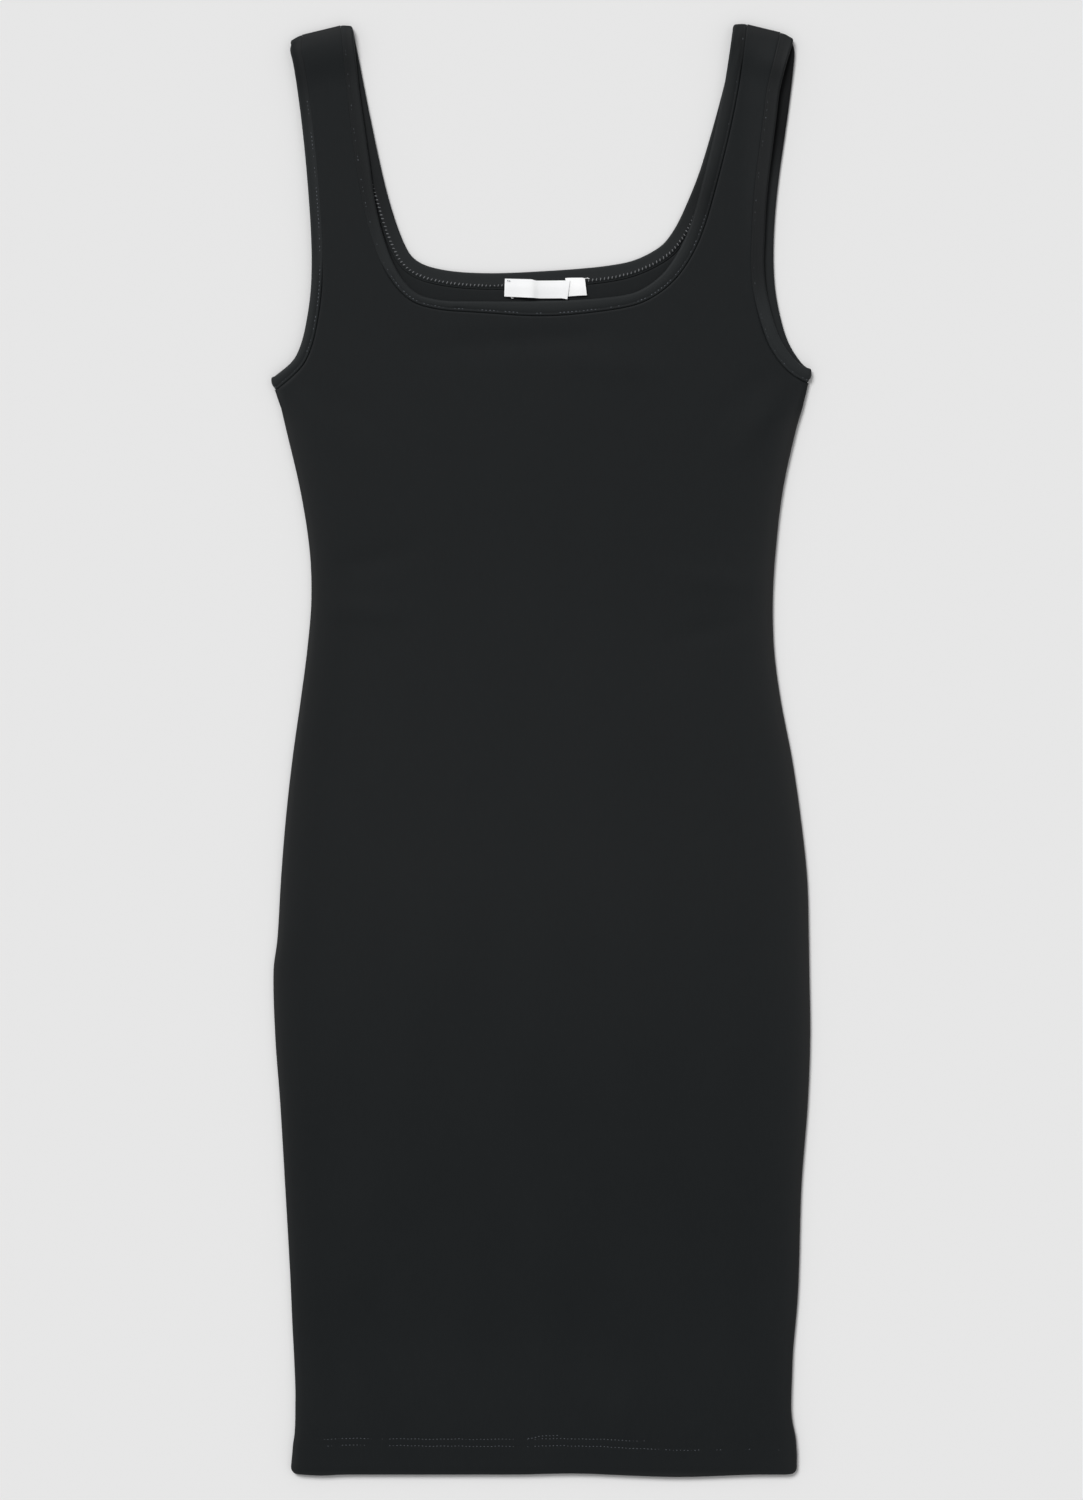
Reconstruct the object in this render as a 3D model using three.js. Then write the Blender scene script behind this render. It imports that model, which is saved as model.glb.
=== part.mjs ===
import * as THREE from 'three';

// A square-neck jersey tank dress laid flat on its back panel, in millimetres.
// Across is +X to the viewer's right, up from the hem to the shoulders is +Y, and the floor is Z = 0.

// Driving sizes of the cloth and its seams
const WALL = 1.1;
const SEAM_GAP = 0.3;
const FOLDED = 2 * WALL;
const HEM_DEPTH = 20;
const LABEL_WALL = 1.1;

// The plane between the front and back layers where both are folded bands
const MID_LEVEL = FOLDED + SEAM_GAP / 2;

// Heights of the front panel's face over the hem, the body and the straps
const HEM_TOP = 2 * FOLDED + SEAM_GAP;
const BODY_TOP = 2 * WALL + 0.5;
const PANEL_INSET = 0.5;
const STRAP_TOP = MID_LEVEL + SEAM_GAP / 2 + PANEL_INSET + WALL;
const EDGE_PUFF = 0.7;

// Half outlines of the body, one row for each section from the hem to below the arm
const SIDE_SECTIONS = [
  { up: 0, left: -165.4, right: 168.7 },
  { up: 26, left: -163.3, right: 167.6 },
  { up: 56, left: -162.9, right: 165.4 },
  { up: 96, left: -164.8, right: 167.6 },
  { up: 136, left: -166.5, right: 169.8 },
  { up: 190, left: -169.0, right: 171.4 },
  { up: 245, left: -173.0, right: 175.6 },
  { up: 290, left: -176.3, right: 177.2 },
  { up: 333, left: -177.4, right: 176.6 },
  { up: 353, left: -174.9, right: 176.3 },
  { up: 393, left: -172.5, right: 175.2 },
  { up: 432, left: -169.4, right: 171.1 },
  { up: 472, left: -165.0, right: 165.3 },
  { up: 512, left: -159.4, right: 157.6 },
  { up: 545, left: -155.1, right: 153.3 },
  { up: 578, left: -152.4, right: 152.5 },
  { up: 611, left: -153.6, right: 154.5 },
  { up: 650, left: -159.7, right: 159.4 },
  { up: 690, left: -169.0, right: 168.0 },
  { up: 704, left: -172.2, right: 171.8 },
];

// Free edges of the armholes, one row for each section from below the arm to the shoulder
const ARMHOLE_SECTIONS = [
  { up: 733, frontLeft: -166.7, backLeft: -166.2, frontRight: 170.3, backRight: 172.3 },
  { up: 738, frontLeft: -162.8, backLeft: -162.0, frontRight: 165.0, backRight: 168.4 },
  { up: 749, frontLeft: -158.4, backLeft: -156.5, frontRight: 157.8, backRight: 162.3 },
  { up: 775, frontLeft: -153.5, backLeft: -150.3, frontRight: 149.5, backRight: 155.3 },
  { up: 795, frontLeft: -152.2, backLeft: -148.3, frontRight: 146.8, backRight: 153.2 },
  { up: 815, frontLeft: -152.4, backLeft: -148.2, frontRight: 147.0, backRight: 153.1 },
  { up: 845, frontLeft: -154.2, backLeft: -149.8, frontRight: 148.5, backRight: 155.2 },
  { up: 875, frontLeft: -156.8, backLeft: -152.8, frontRight: 152.1, backRight: 159.1 },
  { up: 894, frontLeft: -158.9, backLeft: -155.6, frontRight: 154.5, backRight: 162.0 },
  { up: 914, frontLeft: -161.5, backLeft: -159.4, frontRight: 157.0, backRight: 164.4 },
  { up: 931, frontLeft: -164.2, backLeft: -163.2, frontRight: 161.2, backRight: 166.4 },
];

// Free edge of the front neckline from the left shoulder to the right, with the band's width there
const FRONT_NECK = [
  { across: -120.8, up: 916.0, band: 7.8 },
  { across: -117.6, up: 893.0, band: 8.6 },
  { across: -113.5, up: 864.6, band: 8.8 },
  { across: -110.2, up: 841.0, band: 8.0 },
  { across: -105.6, up: 820.4, band: 7.2 },
  { across: -98.8, up: 801.2, band: 6.8 },
  { across: -91.1, up: 788.0, band: 6.2 },
  { across: -82.0, up: 779.6, band: 5.8 },
  { across: -67.3, up: 775.6, band: 6.0 },
  { across: -40.9, up: 774.8, band: 7.2 },
  { across: 0.0, up: 774.8, band: 9.5 },
  { across: 33.7, up: 776.4, band: 8.6 },
  { across: 60.1, up: 780.3, band: 7.8 },
  { across: 71.3, up: 786.0, band: 8.0 },
  { across: 81.5, up: 795.0, band: 8.4 },
  { across: 91.1, up: 809.8, band: 9.0 },
  { across: 99.0, up: 828.3, band: 9.0 },
  { across: 106.3, up: 854.7, band: 9.2 },
  { across: 113.3, up: 882.7, band: 9.3 },
  { across: 119.7, up: 913.4, band: 9.3 },
  { across: 123.7, up: 938.5, band: 9.2 },
];

// Free edge of the back neckline, which is cut higher than the front one
const BACK_NECK = [
  { across: -120.8, up: 933.9, band: 8.4 },
  { across: -117.0, up: 914.1, band: 8.6 },
  { across: -110.9, up: 884.0, band: 8.6 },
  { across: -104.4, up: 854.7, band: 8.6 },
  { across: -99.0, up: 834.9, band: 8.6 },
  { across: -91.9, up: 815.1, band: 8.6 },
  { across: -86.3, up: 805.2, band: 8.6 },
  { across: -79.0, up: 799.2, band: 8.6 },
  { across: -65.0, up: 795.2, band: 8.6 },
  { across: -40.0, up: 793.1, band: 8.8 },
  { across: 0.0, up: 794.1, band: 8.8 },
  { across: 44.9, up: 798.1, band: 8.8 },
  { across: 62.0, up: 802.6, band: 8.4 },
  { across: 77.9, up: 811.1, band: 8.4 },
  { across: 84.5, up: 818.1, band: 8.6 },
  { across: 91.1, up: 829.4, band: 8.8 },
  { across: 97.7, up: 844.3, band: 9.0 },
  { across: 104.6, up: 862.1, band: 9.0 },
  { across: 112.0, up: 884.0, band: 9.0 },
  { across: 120.6, up: 913.0, band: 9.0 },
  { across: 124.8, up: 938.5, band: 9.0 },
];

// Widths of the armhole bands, and the shoulder folds that the strap tops lie on
const ARM_BAND = { left: 7, right: 8.4 };
const SHOULDER_UP = 955.8;
const SHOULDER_SLOPE = 0.243;
const SHOULDER_FROM = 130;
const STRAP_CORNER_DROP = 1.6;
const STRAP_ENDS = {
  left: { arm: -165.5, neck: -124.8, armBand: 7.3, neckBand: 7.8 },
  right: { arm: 165.9, neck: 126.0, armBand: 8.4, neckBand: 9.0 },
};

// The fold of each armhole band below the arm: its free end, its seam end, and the panels' corner there
const UNDERARM = {
  left: { free: [-176.0, 723.4], seam: [-173.6, 716.1], corner: [-175.0, 713.9] },
  right: { free: [175.7, 727.4], seam: [173.4, 720.1], corner: [174.8, 717.9] },
};

// Shallow waves of the hem's edge, as places where it dips towards the viewer
const HEM_WAVES = [
  { across: -146, reach: 16, dip: 0.9 },
  { across: 90, reach: 58, dip: 1.9 },
];
const HEM_CORNER = 4.6;

// The two labels inside the back neck, each sewn on by its top edge
const LABELS = [
  { name: 'neck_label', from: -24.8, to: 17.8, top: 789.4, bottom: 777.0, tilt: -0.012 },
  { name: 'size_tab', from: 18.4, to: 29.2, top: 790.3, bottom: 779.2, tilt: 0.02 },
];

// How finely the sheets are divided
const STRAP_ROWS = 8;
const ARMHOLE_ROWS = 6;
const SCOOP_CELLS = 20;
const EDGE_TURNS = [0, Math.PI / 4, Math.PI / 2];
const EDGE_INSETS = [8, 22, 38];
const STRAP_SHARES = [0, 0.02, 0.06, 0.3, 0.65, 1];
const FOLD_STEPS = 6;
const TURN_WEIGHT = 60;
const ARM_ROOT_UP = 800;
const NECK_ROOT_UP = 815;

const JERSEY = { color: 0x1d1f20, roughness: 0.93, metalness: 0 };
const BAND_JERSEY = { color: 0x222423, roughness: 0.95, metalness: 0 };
const SATIN = { color: 0xeceded, roughness: 0.6, metalness: 0 };

const lerp = THREE.MathUtils.lerp;
const ease = THREE.MathUtils.smoothstep;

function clockwise(direction) {
  return new THREE.Vector2(direction.y, -direction.x).normalize();
}

// A smooth value from a table's column at a given height
function columnAt(rows, column, up) {
  const last = rows.length - 1;
  let i = 0;
  while (i < last - 1 && rows[i + 1].up < up) i += 1;
  const slopeAt = (k) => {
    const before = rows[Math.max(k - 1, 0)];
    const after = rows[Math.min(k + 1, last)];
    return (after[column] - before[column]) / (after.up - before.up);
  };
  const span = rows[i + 1].up - rows[i].up;
  const t = THREE.MathUtils.clamp((up - rows[i].up) / span, 0, 1);
  const rise = slopeAt(i) * span * (t ** 3 - 2 * t ** 2 + t);
  const fall = slopeAt(i + 1) * span * (t ** 3 - t ** 2);
  return lerp(rows[i][column], rows[i + 1][column], t * t * (3 - 2 * t)) + rise + fall;
}

function foldUp(across) {
  return SHOULDER_UP - SHOULDER_SLOPE * (Math.abs(across) - SHOULDER_FROM);
}

// The way that a shoulder fold faces in plan
function shoulderOut(side) {
  return new THREE.Vector2(side === 'left' ? -SHOULDER_SLOPE : SHOULDER_SLOPE, 1).normalize();
}

// A rung is one crossing of a band: its free end, its seam end, and the panel's edge beyond the seam
function shoulderRung(side, kind) {
  const end = STRAP_ENDS[side];
  const width = kind === 'arm' ? end.armBand : end.neckBand;
  const inward = Math.sign(kind === 'arm' ? -end.arm : end.neck);
  const at = (inset, drop) => {
    const across = end[kind] + inward * inset;
    return new THREE.Vector2(across, foldUp(across) - drop);
  };
  return {
    free: at(0, STRAP_CORNER_DROP),
    seam: at(width, 0),
    panel: at(width + SEAM_GAP, 0),
    out: shoulderOut(side),
  };
}

function underarmRung(side) {
  const free = new THREE.Vector2(...UNDERARM[side].free);
  const seam = new THREE.Vector2(...UNDERARM[side].seam);
  const along = seam.clone().sub(free);
  const out = clockwise(along);
  if (side === 'right') out.negate();
  return { free, seam, panel: new THREE.Vector2(...UNDERARM[side].corner), out };
}

// Rungs along an edge curve, closer together where it turns
function rungsAlong(curve, from, to, count, clothOnRight) {
  const samples = 240;
  const pointAt = (i) => curve.getPoint(lerp(from, to, i / samples));
  const reach = [0];
  let before = pointAt(0);
  let heading = null;
  for (let i = 1; i <= samples; i += 1) {
    const point = pointAt(i);
    const step = new THREE.Vector2(point.x - before.x, point.y - before.y);
    const turn = heading === null ? 0 : Math.abs(Math.atan2(heading.cross(step), heading.dot(step)));
    reach.push(reach[i - 1] + step.length() + TURN_WEIGHT * turn);
    heading = step;
    before = point;
  }
  const rungs = [];
  for (let k = 0; k <= count; k += 1) {
    const goal = (reach[samples] * k) / count;
    let i = 1;
    while (i < samples && reach[i] < goal) i += 1;
    const share = (i - 1 + (goal - reach[i - 1]) / (reach[i] - reach[i - 1])) / samples;
    const t = lerp(from, to, THREE.MathUtils.clamp(share, 0, 1));
    const point = curve.getPoint(t);
    const tangent = curve.getTangent(t);
    const inward = clockwise(tangent);
    if (!clothOnRight) inward.negate();
    const free = new THREE.Vector2(point.x, point.y);
    const offset = (distance) => free.clone().addScaledVector(inward, distance);
    rungs.push({ free, seam: offset(point.z), panel: offset(point.z + SEAM_GAP) });
  }
  return rungs;
}

// The share of a curve at which it passes a height, looking from one of its ends
function shareAtHeight(curve, up, fromEnd) {
  const steps = 2000;
  for (let i = 0; i <= steps; i += 1) {
    const t = fromEnd ? 1 - i / steps : i / steps;
    const point = curve.getPoint(t);
    const next = curve.getPoint(fromEnd ? t - 1 / steps : t + 1 / steps);
    if ((point.y - up) * (next.y - up) <= 0) return t;
  }
  throw new Error('the curve never passes that height');
}

function curveThrough(points) {
  return new THREE.CatmullRomCurve3(points.map(([across, up, band]) => new THREE.Vector3(across, up, band)));
}

function neckRungs(rows) {
  const start = shoulderRung('left', 'neck');
  const end = shoulderRung('right', 'neck');
  const curve = curveThrough([
    [start.free.x, start.free.y, STRAP_ENDS.left.neckBand],
    ...rows.map((row) => [row.across, row.up, row.band]),
    [end.free.x, end.free.y, STRAP_ENDS.right.neckBand],
  ]);
  const leftRoot = shareAtHeight(curve, NECK_ROOT_UP, false);
  const rightRoot = shareAtHeight(curve, NECK_ROOT_UP, true);
  const rungs = [
    ...rungsAlong(curve, 0, leftRoot, STRAP_ROWS, true),
    ...rungsAlong(curve, leftRoot, rightRoot, SCOOP_CELLS, true).slice(1),
    ...rungsAlong(curve, rightRoot, 1, STRAP_ROWS, true).slice(1),
  ];
  rungs[0] = start;
  rungs[rungs.length - 1] = end;
  return rungs;
}

function armholeRungs(side, column) {
  const start = underarmRung(side);
  const end = shoulderRung(side, 'arm');
  const curve = curveThrough([
    [start.free.x, start.free.y, ARM_BAND[side]],
    ...ARMHOLE_SECTIONS.map((row) => [row[column], row.up, ARM_BAND[side]]),
    [end.free.x, end.free.y, ARM_BAND[side]],
  ]);
  const root = shareAtHeight(curve, ARM_ROOT_UP, false);
  const clothOnRight = side === 'left';
  const rungs = [
    ...rungsAlong(curve, 0, root, ARMHOLE_ROWS, clothOnRight),
    ...rungsAlong(curve, root, 1, STRAP_ROWS, clothOnRight).slice(1),
  ];
  rungs[0] = start;
  rungs[rungs.length - 1] = end;
  return rungs;
}

// Geometry from points and triangles, turned so that its faces point out
function closedGeometry(points, triangles) {
  const volume = triangles.reduce((sum, [a, b, c]) => {
    const cross = new THREE.Vector3().crossVectors(points[b], points[c]);
    return sum + points[a].dot(cross);
  }, 0);
  const turned = volume < 0 ? triangles.map(([a, b, c]) => [a, c, b]) : triangles;
  const geometry = new THREE.BufferGeometry();
  geometry.setAttribute('position', new THREE.Float32BufferAttribute(points.flatMap((p) => p.toArray()), 3));
  geometry.setIndex(turned.flat());
  return geometry;
}

// A closed wall between two matching sheets of points, with its open edges joined
function wallBetween(outer, inner, quads) {
  const shift = outer.length;
  const triangles = [];
  const rims = new Map();
  for (const quad of quads) {
    const [a, b, c, d] = quad;
    triangles.push([a, b, c], [a, c, d]);
    triangles.push([a + shift, c + shift, b + shift], [a + shift, d + shift, c + shift]);
    quad.forEach((from, i) => {
      const to = quad[(i + 1) % 4];
      if (!rims.delete(`${to} ${from}`)) rims.set(`${from} ${to}`, [from, to]);
    });
  }
  for (const [from, to] of rims.values()) {
    triangles.push([to, from, from + shift], [to, from + shift, to + shift]);
  }
  return closedGeometry([...outer, ...inner], triangles);
}

// One layer of the dress: its rungs, and which way its face looks
function makeLayer(name, facing, neckRows, armColumns) {
  return {
    name,
    facing,
    neck: neckRungs(neckRows),
    left: armholeRungs('left', armColumns.left),
    right: armholeRungs('right', armColumns.right),
  };
}

function wallAt(up) {
  return lerp(FOLDED, WALL, ease(up, HEM_DEPTH, HEM_DEPTH + 2));
}

// Height of the front panel's face, which sinks onto the back panel over the body
function frontTop(up, fromSide) {
  const hem = 1 - ease(up, HEM_DEPTH + 2, HEM_DEPTH + 45);
  const chest = ease(up, 540, 700);
  const level = BODY_TOP + hem * (HEM_TOP - BODY_TOP) + chest * (STRAP_TOP - BODY_TOP);
  const puff = EDGE_PUFF * (1 - ease(fromSide, 3, 26)) * (1 - hem) * (1 - chest);
  return level + puff;
}

function hemDip(across, up) {
  const waves = HEM_WAVES.map((wave) => wave.dip * (1 - ease(Math.abs(across - wave.across), 0, wave.reach)));
  return Math.max(...waves) * (1 - ease(up, 5, 60));
}

// The outer and inner points of a layer where it lies flat
function flatPair(layer, across, up, fromSide) {
  const wall = wallAt(up);
  const outer = layer.facing > 0 ? frontTop(up, fromSide) : 0;
  return [new THREE.Vector3(across, up, outer), new THREE.Vector3(across, up, outer - layer.facing * wall)];
}

// The outer and inner points where a layer turns round the side to its side seam
function sidePair(layer, edge, inward, up, turn) {
  const seamLevel = frontTop(up, 0) / 2;
  const radius = seamLevel - SEAM_GAP / 2;
  const inside = Math.max(radius - wallAt(up), SEAM_GAP / 2);
  const at = (bend) => new THREE.Vector3(
    edge + inward * (radius - bend * Math.cos(turn)),
    up,
    seamLevel + layer.facing * (SEAM_GAP / 2 + bend * Math.sin(turn)),
  );
  return [at(radius), at(inside)];
}

// Where each column of the body stands between its two sides
function bodyColumns(width) {
  const radius = frontTop(300, 0) / 2 - SEAM_GAP / 2;
  const turns = EDGE_TURNS.map((turn) => radius * (1 - Math.cos(turn)));
  const insets = [...turns, ...EDGE_INSETS];
  const last = insets[insets.length - 1];
  const middle = [];
  for (let k = 1; k < SCOOP_CELLS; k += 1) middle.push(lerp(last, width - last, k / SCOOP_CELLS));
  return [...insets, ...middle, ...insets.map((inset) => width - inset).reverse()];
}

// A straight row across the body, turned down at both sides
function sideRow(layer, left, right) {
  const width = right.x - left.x;
  const columns = bodyColumns(width);
  const last = columns.length - 1;
  return columns.map((inset, c) => {
    const up = lerp(left.y, right.y, inset / width);
    const turns = EDGE_TURNS.length;
    if (c < turns) return sidePair(layer, left.x, 1, up, EDGE_TURNS[c]);
    if (c > last - turns) return sidePair(layer, right.x, -1, up, EDGE_TURNS[last - c]);
    return flatPair(layer, left.x + inset, up, Math.min(inset, width - inset));
  });
}

// Rounds the fold of the hem and gives its edge its shallow waves
function turnHem(pair, up) {
  const middle = pair[0].clone().lerp(pair[1], 0.5);
  const pinch = 0.68 * (1 - ease(up, 0, FOLDED / 2));
  return pair.map((point) => {
    const turned = point.clone().lerp(middle, pinch);
    turned.y -= hemDip(turned.x, up);
    return turned;
  });
}

function cornerInset(up) {
  if (up >= HEM_CORNER) return 0;
  return HEM_CORNER - Math.sqrt(HEM_CORNER ** 2 - (HEM_CORNER - up) ** 2);
}

function hemAndSideRows(layer) {
  const hemRows = [0, 0.5, 1.4, HEM_CORNER, HEM_DEPTH, HEM_DEPTH + 2];
  const heights = [...hemRows, ...SIDE_SECTIONS.map((row) => row.up).filter((up) => up > HEM_DEPTH + 2)];
  return heights.map((up) => {
    const left = new THREE.Vector2(columnAt(SIDE_SECTIONS, 'left', up) + cornerInset(up), up);
    const right = new THREE.Vector2(columnAt(SIDE_SECTIONS, 'right', up) - cornerInset(up), up);
    return sideRow(layer, left, right).map((pair) => turnHem(pair, up));
  });
}

// The plan points of a strap's row, from its armhole seam to its neck seam
function strapPoints(armRung, neckRung) {
  return STRAP_SHARES.map((share) => armRung.panel.clone().lerp(neckRung.panel, share));
}

// The top line of the body: across the left strap's root, round the scoop, across the right one
function rootLine(layer) {
  const left = strapPoints(layer.left[ARMHOLE_ROWS], layer.neck[STRAP_ROWS]);
  const scoop = layer.neck.slice(STRAP_ROWS + 1, STRAP_ROWS + SCOOP_CELLS).map((rung) => rung.panel);
  const right = strapPoints(layer.right[ARMHOLE_ROWS], layer.neck[STRAP_ROWS + SCOOP_CELLS]);
  return [...left, ...scoop, ...right.reverse()];
}

// Rows between the armholes, which change from straight across to the root line
function armholeBodyRows(layer) {
  const root = rootLine(layer);
  const starts = [layer.left[0].panel, layer.right[0].panel];
  const ends = [layer.left[ARMHOLE_ROWS].panel, layer.right[ARMHOLE_ROWS].panel];
  const width = starts[1].x - starts[0].x;
  const bodyShares = bodyColumns(width).map((inset) => inset / width);
  const rootShares = root.map((point) => (point.x - ends[0].x) / (ends[1].x - ends[0].x));
  const rows = [sideRow(layer, ...starts)];
  for (let k = 1; k <= ARMHOLE_ROWS; k += 1) {
    const edges = [layer.left[k].panel, layer.right[k].panel];
    const rises = edges.map((edge, i) => (edge.y - starts[i].y) / (ends[i].y - starts[i].y));
    rows.push(root.map((top, c) => {
      const share = lerp(bodyShares[c], rootShares[c], ease(k, 0, ARMHOLE_ROWS));
      const start = lerp(starts[0].y, starts[1].y, bodyShares[c]);
      const up = lerp(start, top.y, lerp(rises[0], rises[1], share));
      return flatPair(layer, lerp(edges[0].x, edges[1].x, share), up, Infinity);
    }));
  }
  return rows;
}

// Rows of one strap above its root, with its end turned down to the shoulder seam
function strapRows(layer, side) {
  const arm = layer[side];
  const rows = [];
  const lifted = MID_LEVEL - SEAM_GAP / 2 - PANEL_INSET - WALL;
  for (let j = 1; j <= STRAP_ROWS; j += 1) {
    const neckIndex = side === 'left' ? STRAP_ROWS - j : STRAP_ROWS + SCOOP_CELLS + j;
    rows.push(strapPoints(arm[ARMHOLE_ROWS + j], layer.neck[neckIndex]).map((point) => {
      const pair = flatPair(layer, point.x, point.y, Infinity);
      const rise = layer.facing > 0 ? 0 : lifted * ease(point.y, foldUp(point.x) - 22, foldUp(point.x));
      pair.forEach((corner) => { corner.z += rise; });
      return pair;
    }));
  }
  const neckEnd = layer.neck[side === 'left' ? 0 : layer.neck.length - 1];
  const foldPoints = strapPoints(arm[arm.length - 1], neckEnd);
  const bends = [SEAM_GAP / 2 + PANEL_INSET + WALL, SEAM_GAP / 2 + PANEL_INSET];
  for (const turn of [Math.PI / 4, Math.PI / 2]) {
    rows.push(foldPoints.map((point) => bends.map((bend) => {
      const level = Math.max(bend * Math.cos(turn), SEAM_GAP / 2);
      const reach = Math.sqrt(bend ** 2 - level ** 2);
      const placed = point.clone().addScaledVector(arm[arm.length - 1].out, reach);
      return new THREE.Vector3(placed.x, placed.y, MID_LEVEL + layer.facing * level);
    })));
  }
  return rows;
}

// The whole panel of a layer: body, and a strap on each side of the neck
function panelGeometry(layer) {
  const outer = [];
  const inner = [];
  const quads = [];
  const place = (rows) => rows.map((row) => row.map((pair) => {
    outer.push(pair[0]);
    inner.push(pair[1]);
    return outer.length - 1;
  }));
  const knit = (grid) => {
    for (let r = 1; r < grid.length; r += 1) {
      for (let c = 1; c < grid[r].length; c += 1) {
        quads.push([grid[r - 1][c - 1], grid[r - 1][c], grid[r][c], grid[r][c - 1]]);
      }
    }
  };
  const body = place([...hemAndSideRows(layer), ...armholeBodyRows(layer)]);
  const root = body[body.length - 1];
  const strapCells = STRAP_SHARES.length;
  knit(body);
  knit([root.slice(0, strapCells), ...place(strapRows(layer, 'left'))]);
  const rightRows = place(strapRows(layer, 'right')).map((row) => row.reverse());
  knit([root.slice(-strapCells), ...rightRows]);
  return wallBetween(outer, inner, quads);
}

// A folded band's section: distance from the free edge, and depth from the inner face
function bandSection(width) {
  const round = WALL;
  const nip = 0.3;
  return [
    [0, FOLDED / 2],
    [0.3 * round, 0.3 * round],
    [round, 0],
    [width - nip, 0],
    [width, nip],
    [width, FOLDED - nip],
    [width - nip, FOLDED],
    [round, FOLDED],
    [0.3 * round, FOLDED - 0.3 * round],
  ];
}

// A closed ring: along the front rungs, round a fold, back along the back rungs, round the other fold
function ringBand(frontRungs, backRungs) {
  const stations = [];
  const flat = (rung, facing) => stations.push({ rung, reach: 0, level: facing });
  const fold = (rung, from) => {
    for (let k = 1; k < FOLD_STEPS; k += 1) {
      const turn = (Math.PI * k) / FOLD_STEPS;
      stations.push({ rung, reach: Math.sin(turn), level: from * Math.cos(turn) });
    }
  };
  const last = frontRungs.length - 1;
  frontRungs.forEach((rung) => flat(rung, 1));
  fold(frontRungs[last], 1);
  [...backRungs].reverse().forEach((rung) => flat(rung, -1));
  fold(frontRungs[0], -1);
  const points = [];
  for (const { rung, reach, level } of stations) {
    const width = rung.free.distanceTo(rung.seam);
    for (const [inset, depth] of bandSection(width)) {
      const bend = SEAM_GAP / 2 + depth;
      const placed = rung.free.clone().lerp(rung.seam, inset / width);
      if (reach > 0) placed.addScaledVector(rung.out, bend * reach);
      points.push(new THREE.Vector3(placed.x, placed.y, MID_LEVEL + bend * level));
    }
  }
  const around = bandSection(1).length;
  const triangles = [];
  for (let s = 0; s < stations.length; s += 1) {
    const next = (s + 1) % stations.length;
    for (let k = 0; k < around; k += 1) {
      const beside = (k + 1) % around;
      const [a, b] = [s * around + k, s * around + beside];
      const [c, d] = [next * around + beside, next * around + k];
      triangles.push([a, b, c], [a, c, d]);
    }
  }
  return closedGeometry(points, triangles);
}

// A bare ribbon label that hangs from the back neck band onto the back panel
function labelGeometry(label, bandEdgeUp) {
  const overBand = FOLDED + SEAM_GAP;
  const overPanel = WALL + SEAM_GAP;
  const columns = 6;
  const drops = [0, 0.2, 0.4, 0.55, 0.75, 1];
  const outer = [];
  const inner = [];
  for (const drop of drops) {
    for (let c = 0; c <= columns; c += 1) {
      const across = lerp(label.from, label.to, c / columns);
      const up = lerp(label.top, label.bottom, drop) + label.tilt * (across - label.from);
      const level = lerp(overPanel, overBand, ease(up, bandEdgeUp - 5, bandEdgeUp - 0.5));
      inner.push(new THREE.Vector3(across, up, level));
      outer.push(new THREE.Vector3(across, up, level + LABEL_WALL));
    }
  }
  const quads = [];
  for (let r = 1; r < drops.length; r += 1) {
    for (let c = 1; c <= columns; c += 1) {
      const corner = r * (columns + 1) + c;
      quads.push([corner - columns - 2, corner - 1, corner, corner - columns - 1]);
    }
  }
  return wallBetween(outer, inner, quads);
}

function piece(name, geometry, finish) {
  const mesh = new THREE.Mesh(geometry, new THREE.MeshStandardMaterial(finish));
  mesh.name = name;
  return mesh;
}

const front = makeLayer('front', 1, FRONT_NECK, { left: 'frontLeft', right: 'frontRight' });
const back = makeLayer('back', -1, BACK_NECK, { left: 'backLeft', right: 'backRight' });
const backBandEdge = Math.min(...back.neck.map((rung) => rung.seam.y));

const dress = new THREE.Group();
dress.add(piece('front_panel', panelGeometry(front), JERSEY));
dress.add(piece('back_panel', panelGeometry(back), JERSEY));
dress.add(piece('neck_band', ringBand(front.neck, back.neck), BAND_JERSEY));
for (const side of ['left', 'right']) {
  dress.add(piece(`armhole_band_${side}`, ringBand(front[side], back[side]), BAND_JERSEY));
}
for (const label of LABELS) {
  dress.add(piece(label.name, labelGeometry(label, backBandEdge), SATIN));
}

// The origin is the middle of the whole dress, on the floor
const box = new THREE.Box3().setFromObject(dress);
const middle = box.getCenter(new THREE.Vector3());
dress.position.set(-middle.x, -middle.y, -box.min.z);

export default dress;
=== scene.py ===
"""A square-neck jersey tank dress, laid flat and seen from straight above."""
import math
from collections import namedtuple

import bpy
import numpy as np
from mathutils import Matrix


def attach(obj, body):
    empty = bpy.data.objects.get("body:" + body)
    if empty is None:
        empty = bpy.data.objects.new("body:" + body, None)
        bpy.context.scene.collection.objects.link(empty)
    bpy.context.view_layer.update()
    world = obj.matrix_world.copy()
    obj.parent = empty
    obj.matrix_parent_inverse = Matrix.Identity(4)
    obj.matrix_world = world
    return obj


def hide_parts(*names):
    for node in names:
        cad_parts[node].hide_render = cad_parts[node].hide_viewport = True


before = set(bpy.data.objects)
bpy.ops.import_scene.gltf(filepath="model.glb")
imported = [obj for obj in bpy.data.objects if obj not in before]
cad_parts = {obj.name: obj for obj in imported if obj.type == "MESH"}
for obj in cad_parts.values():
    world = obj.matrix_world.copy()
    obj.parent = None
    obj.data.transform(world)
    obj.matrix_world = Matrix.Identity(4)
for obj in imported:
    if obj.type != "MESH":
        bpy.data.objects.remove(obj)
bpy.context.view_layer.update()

# Sizes are in millimetres: across from the centre line, up from the hem, and level above the floor
METRE = 1000
ORIGIN = (-0.139, 477.904)

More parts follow.
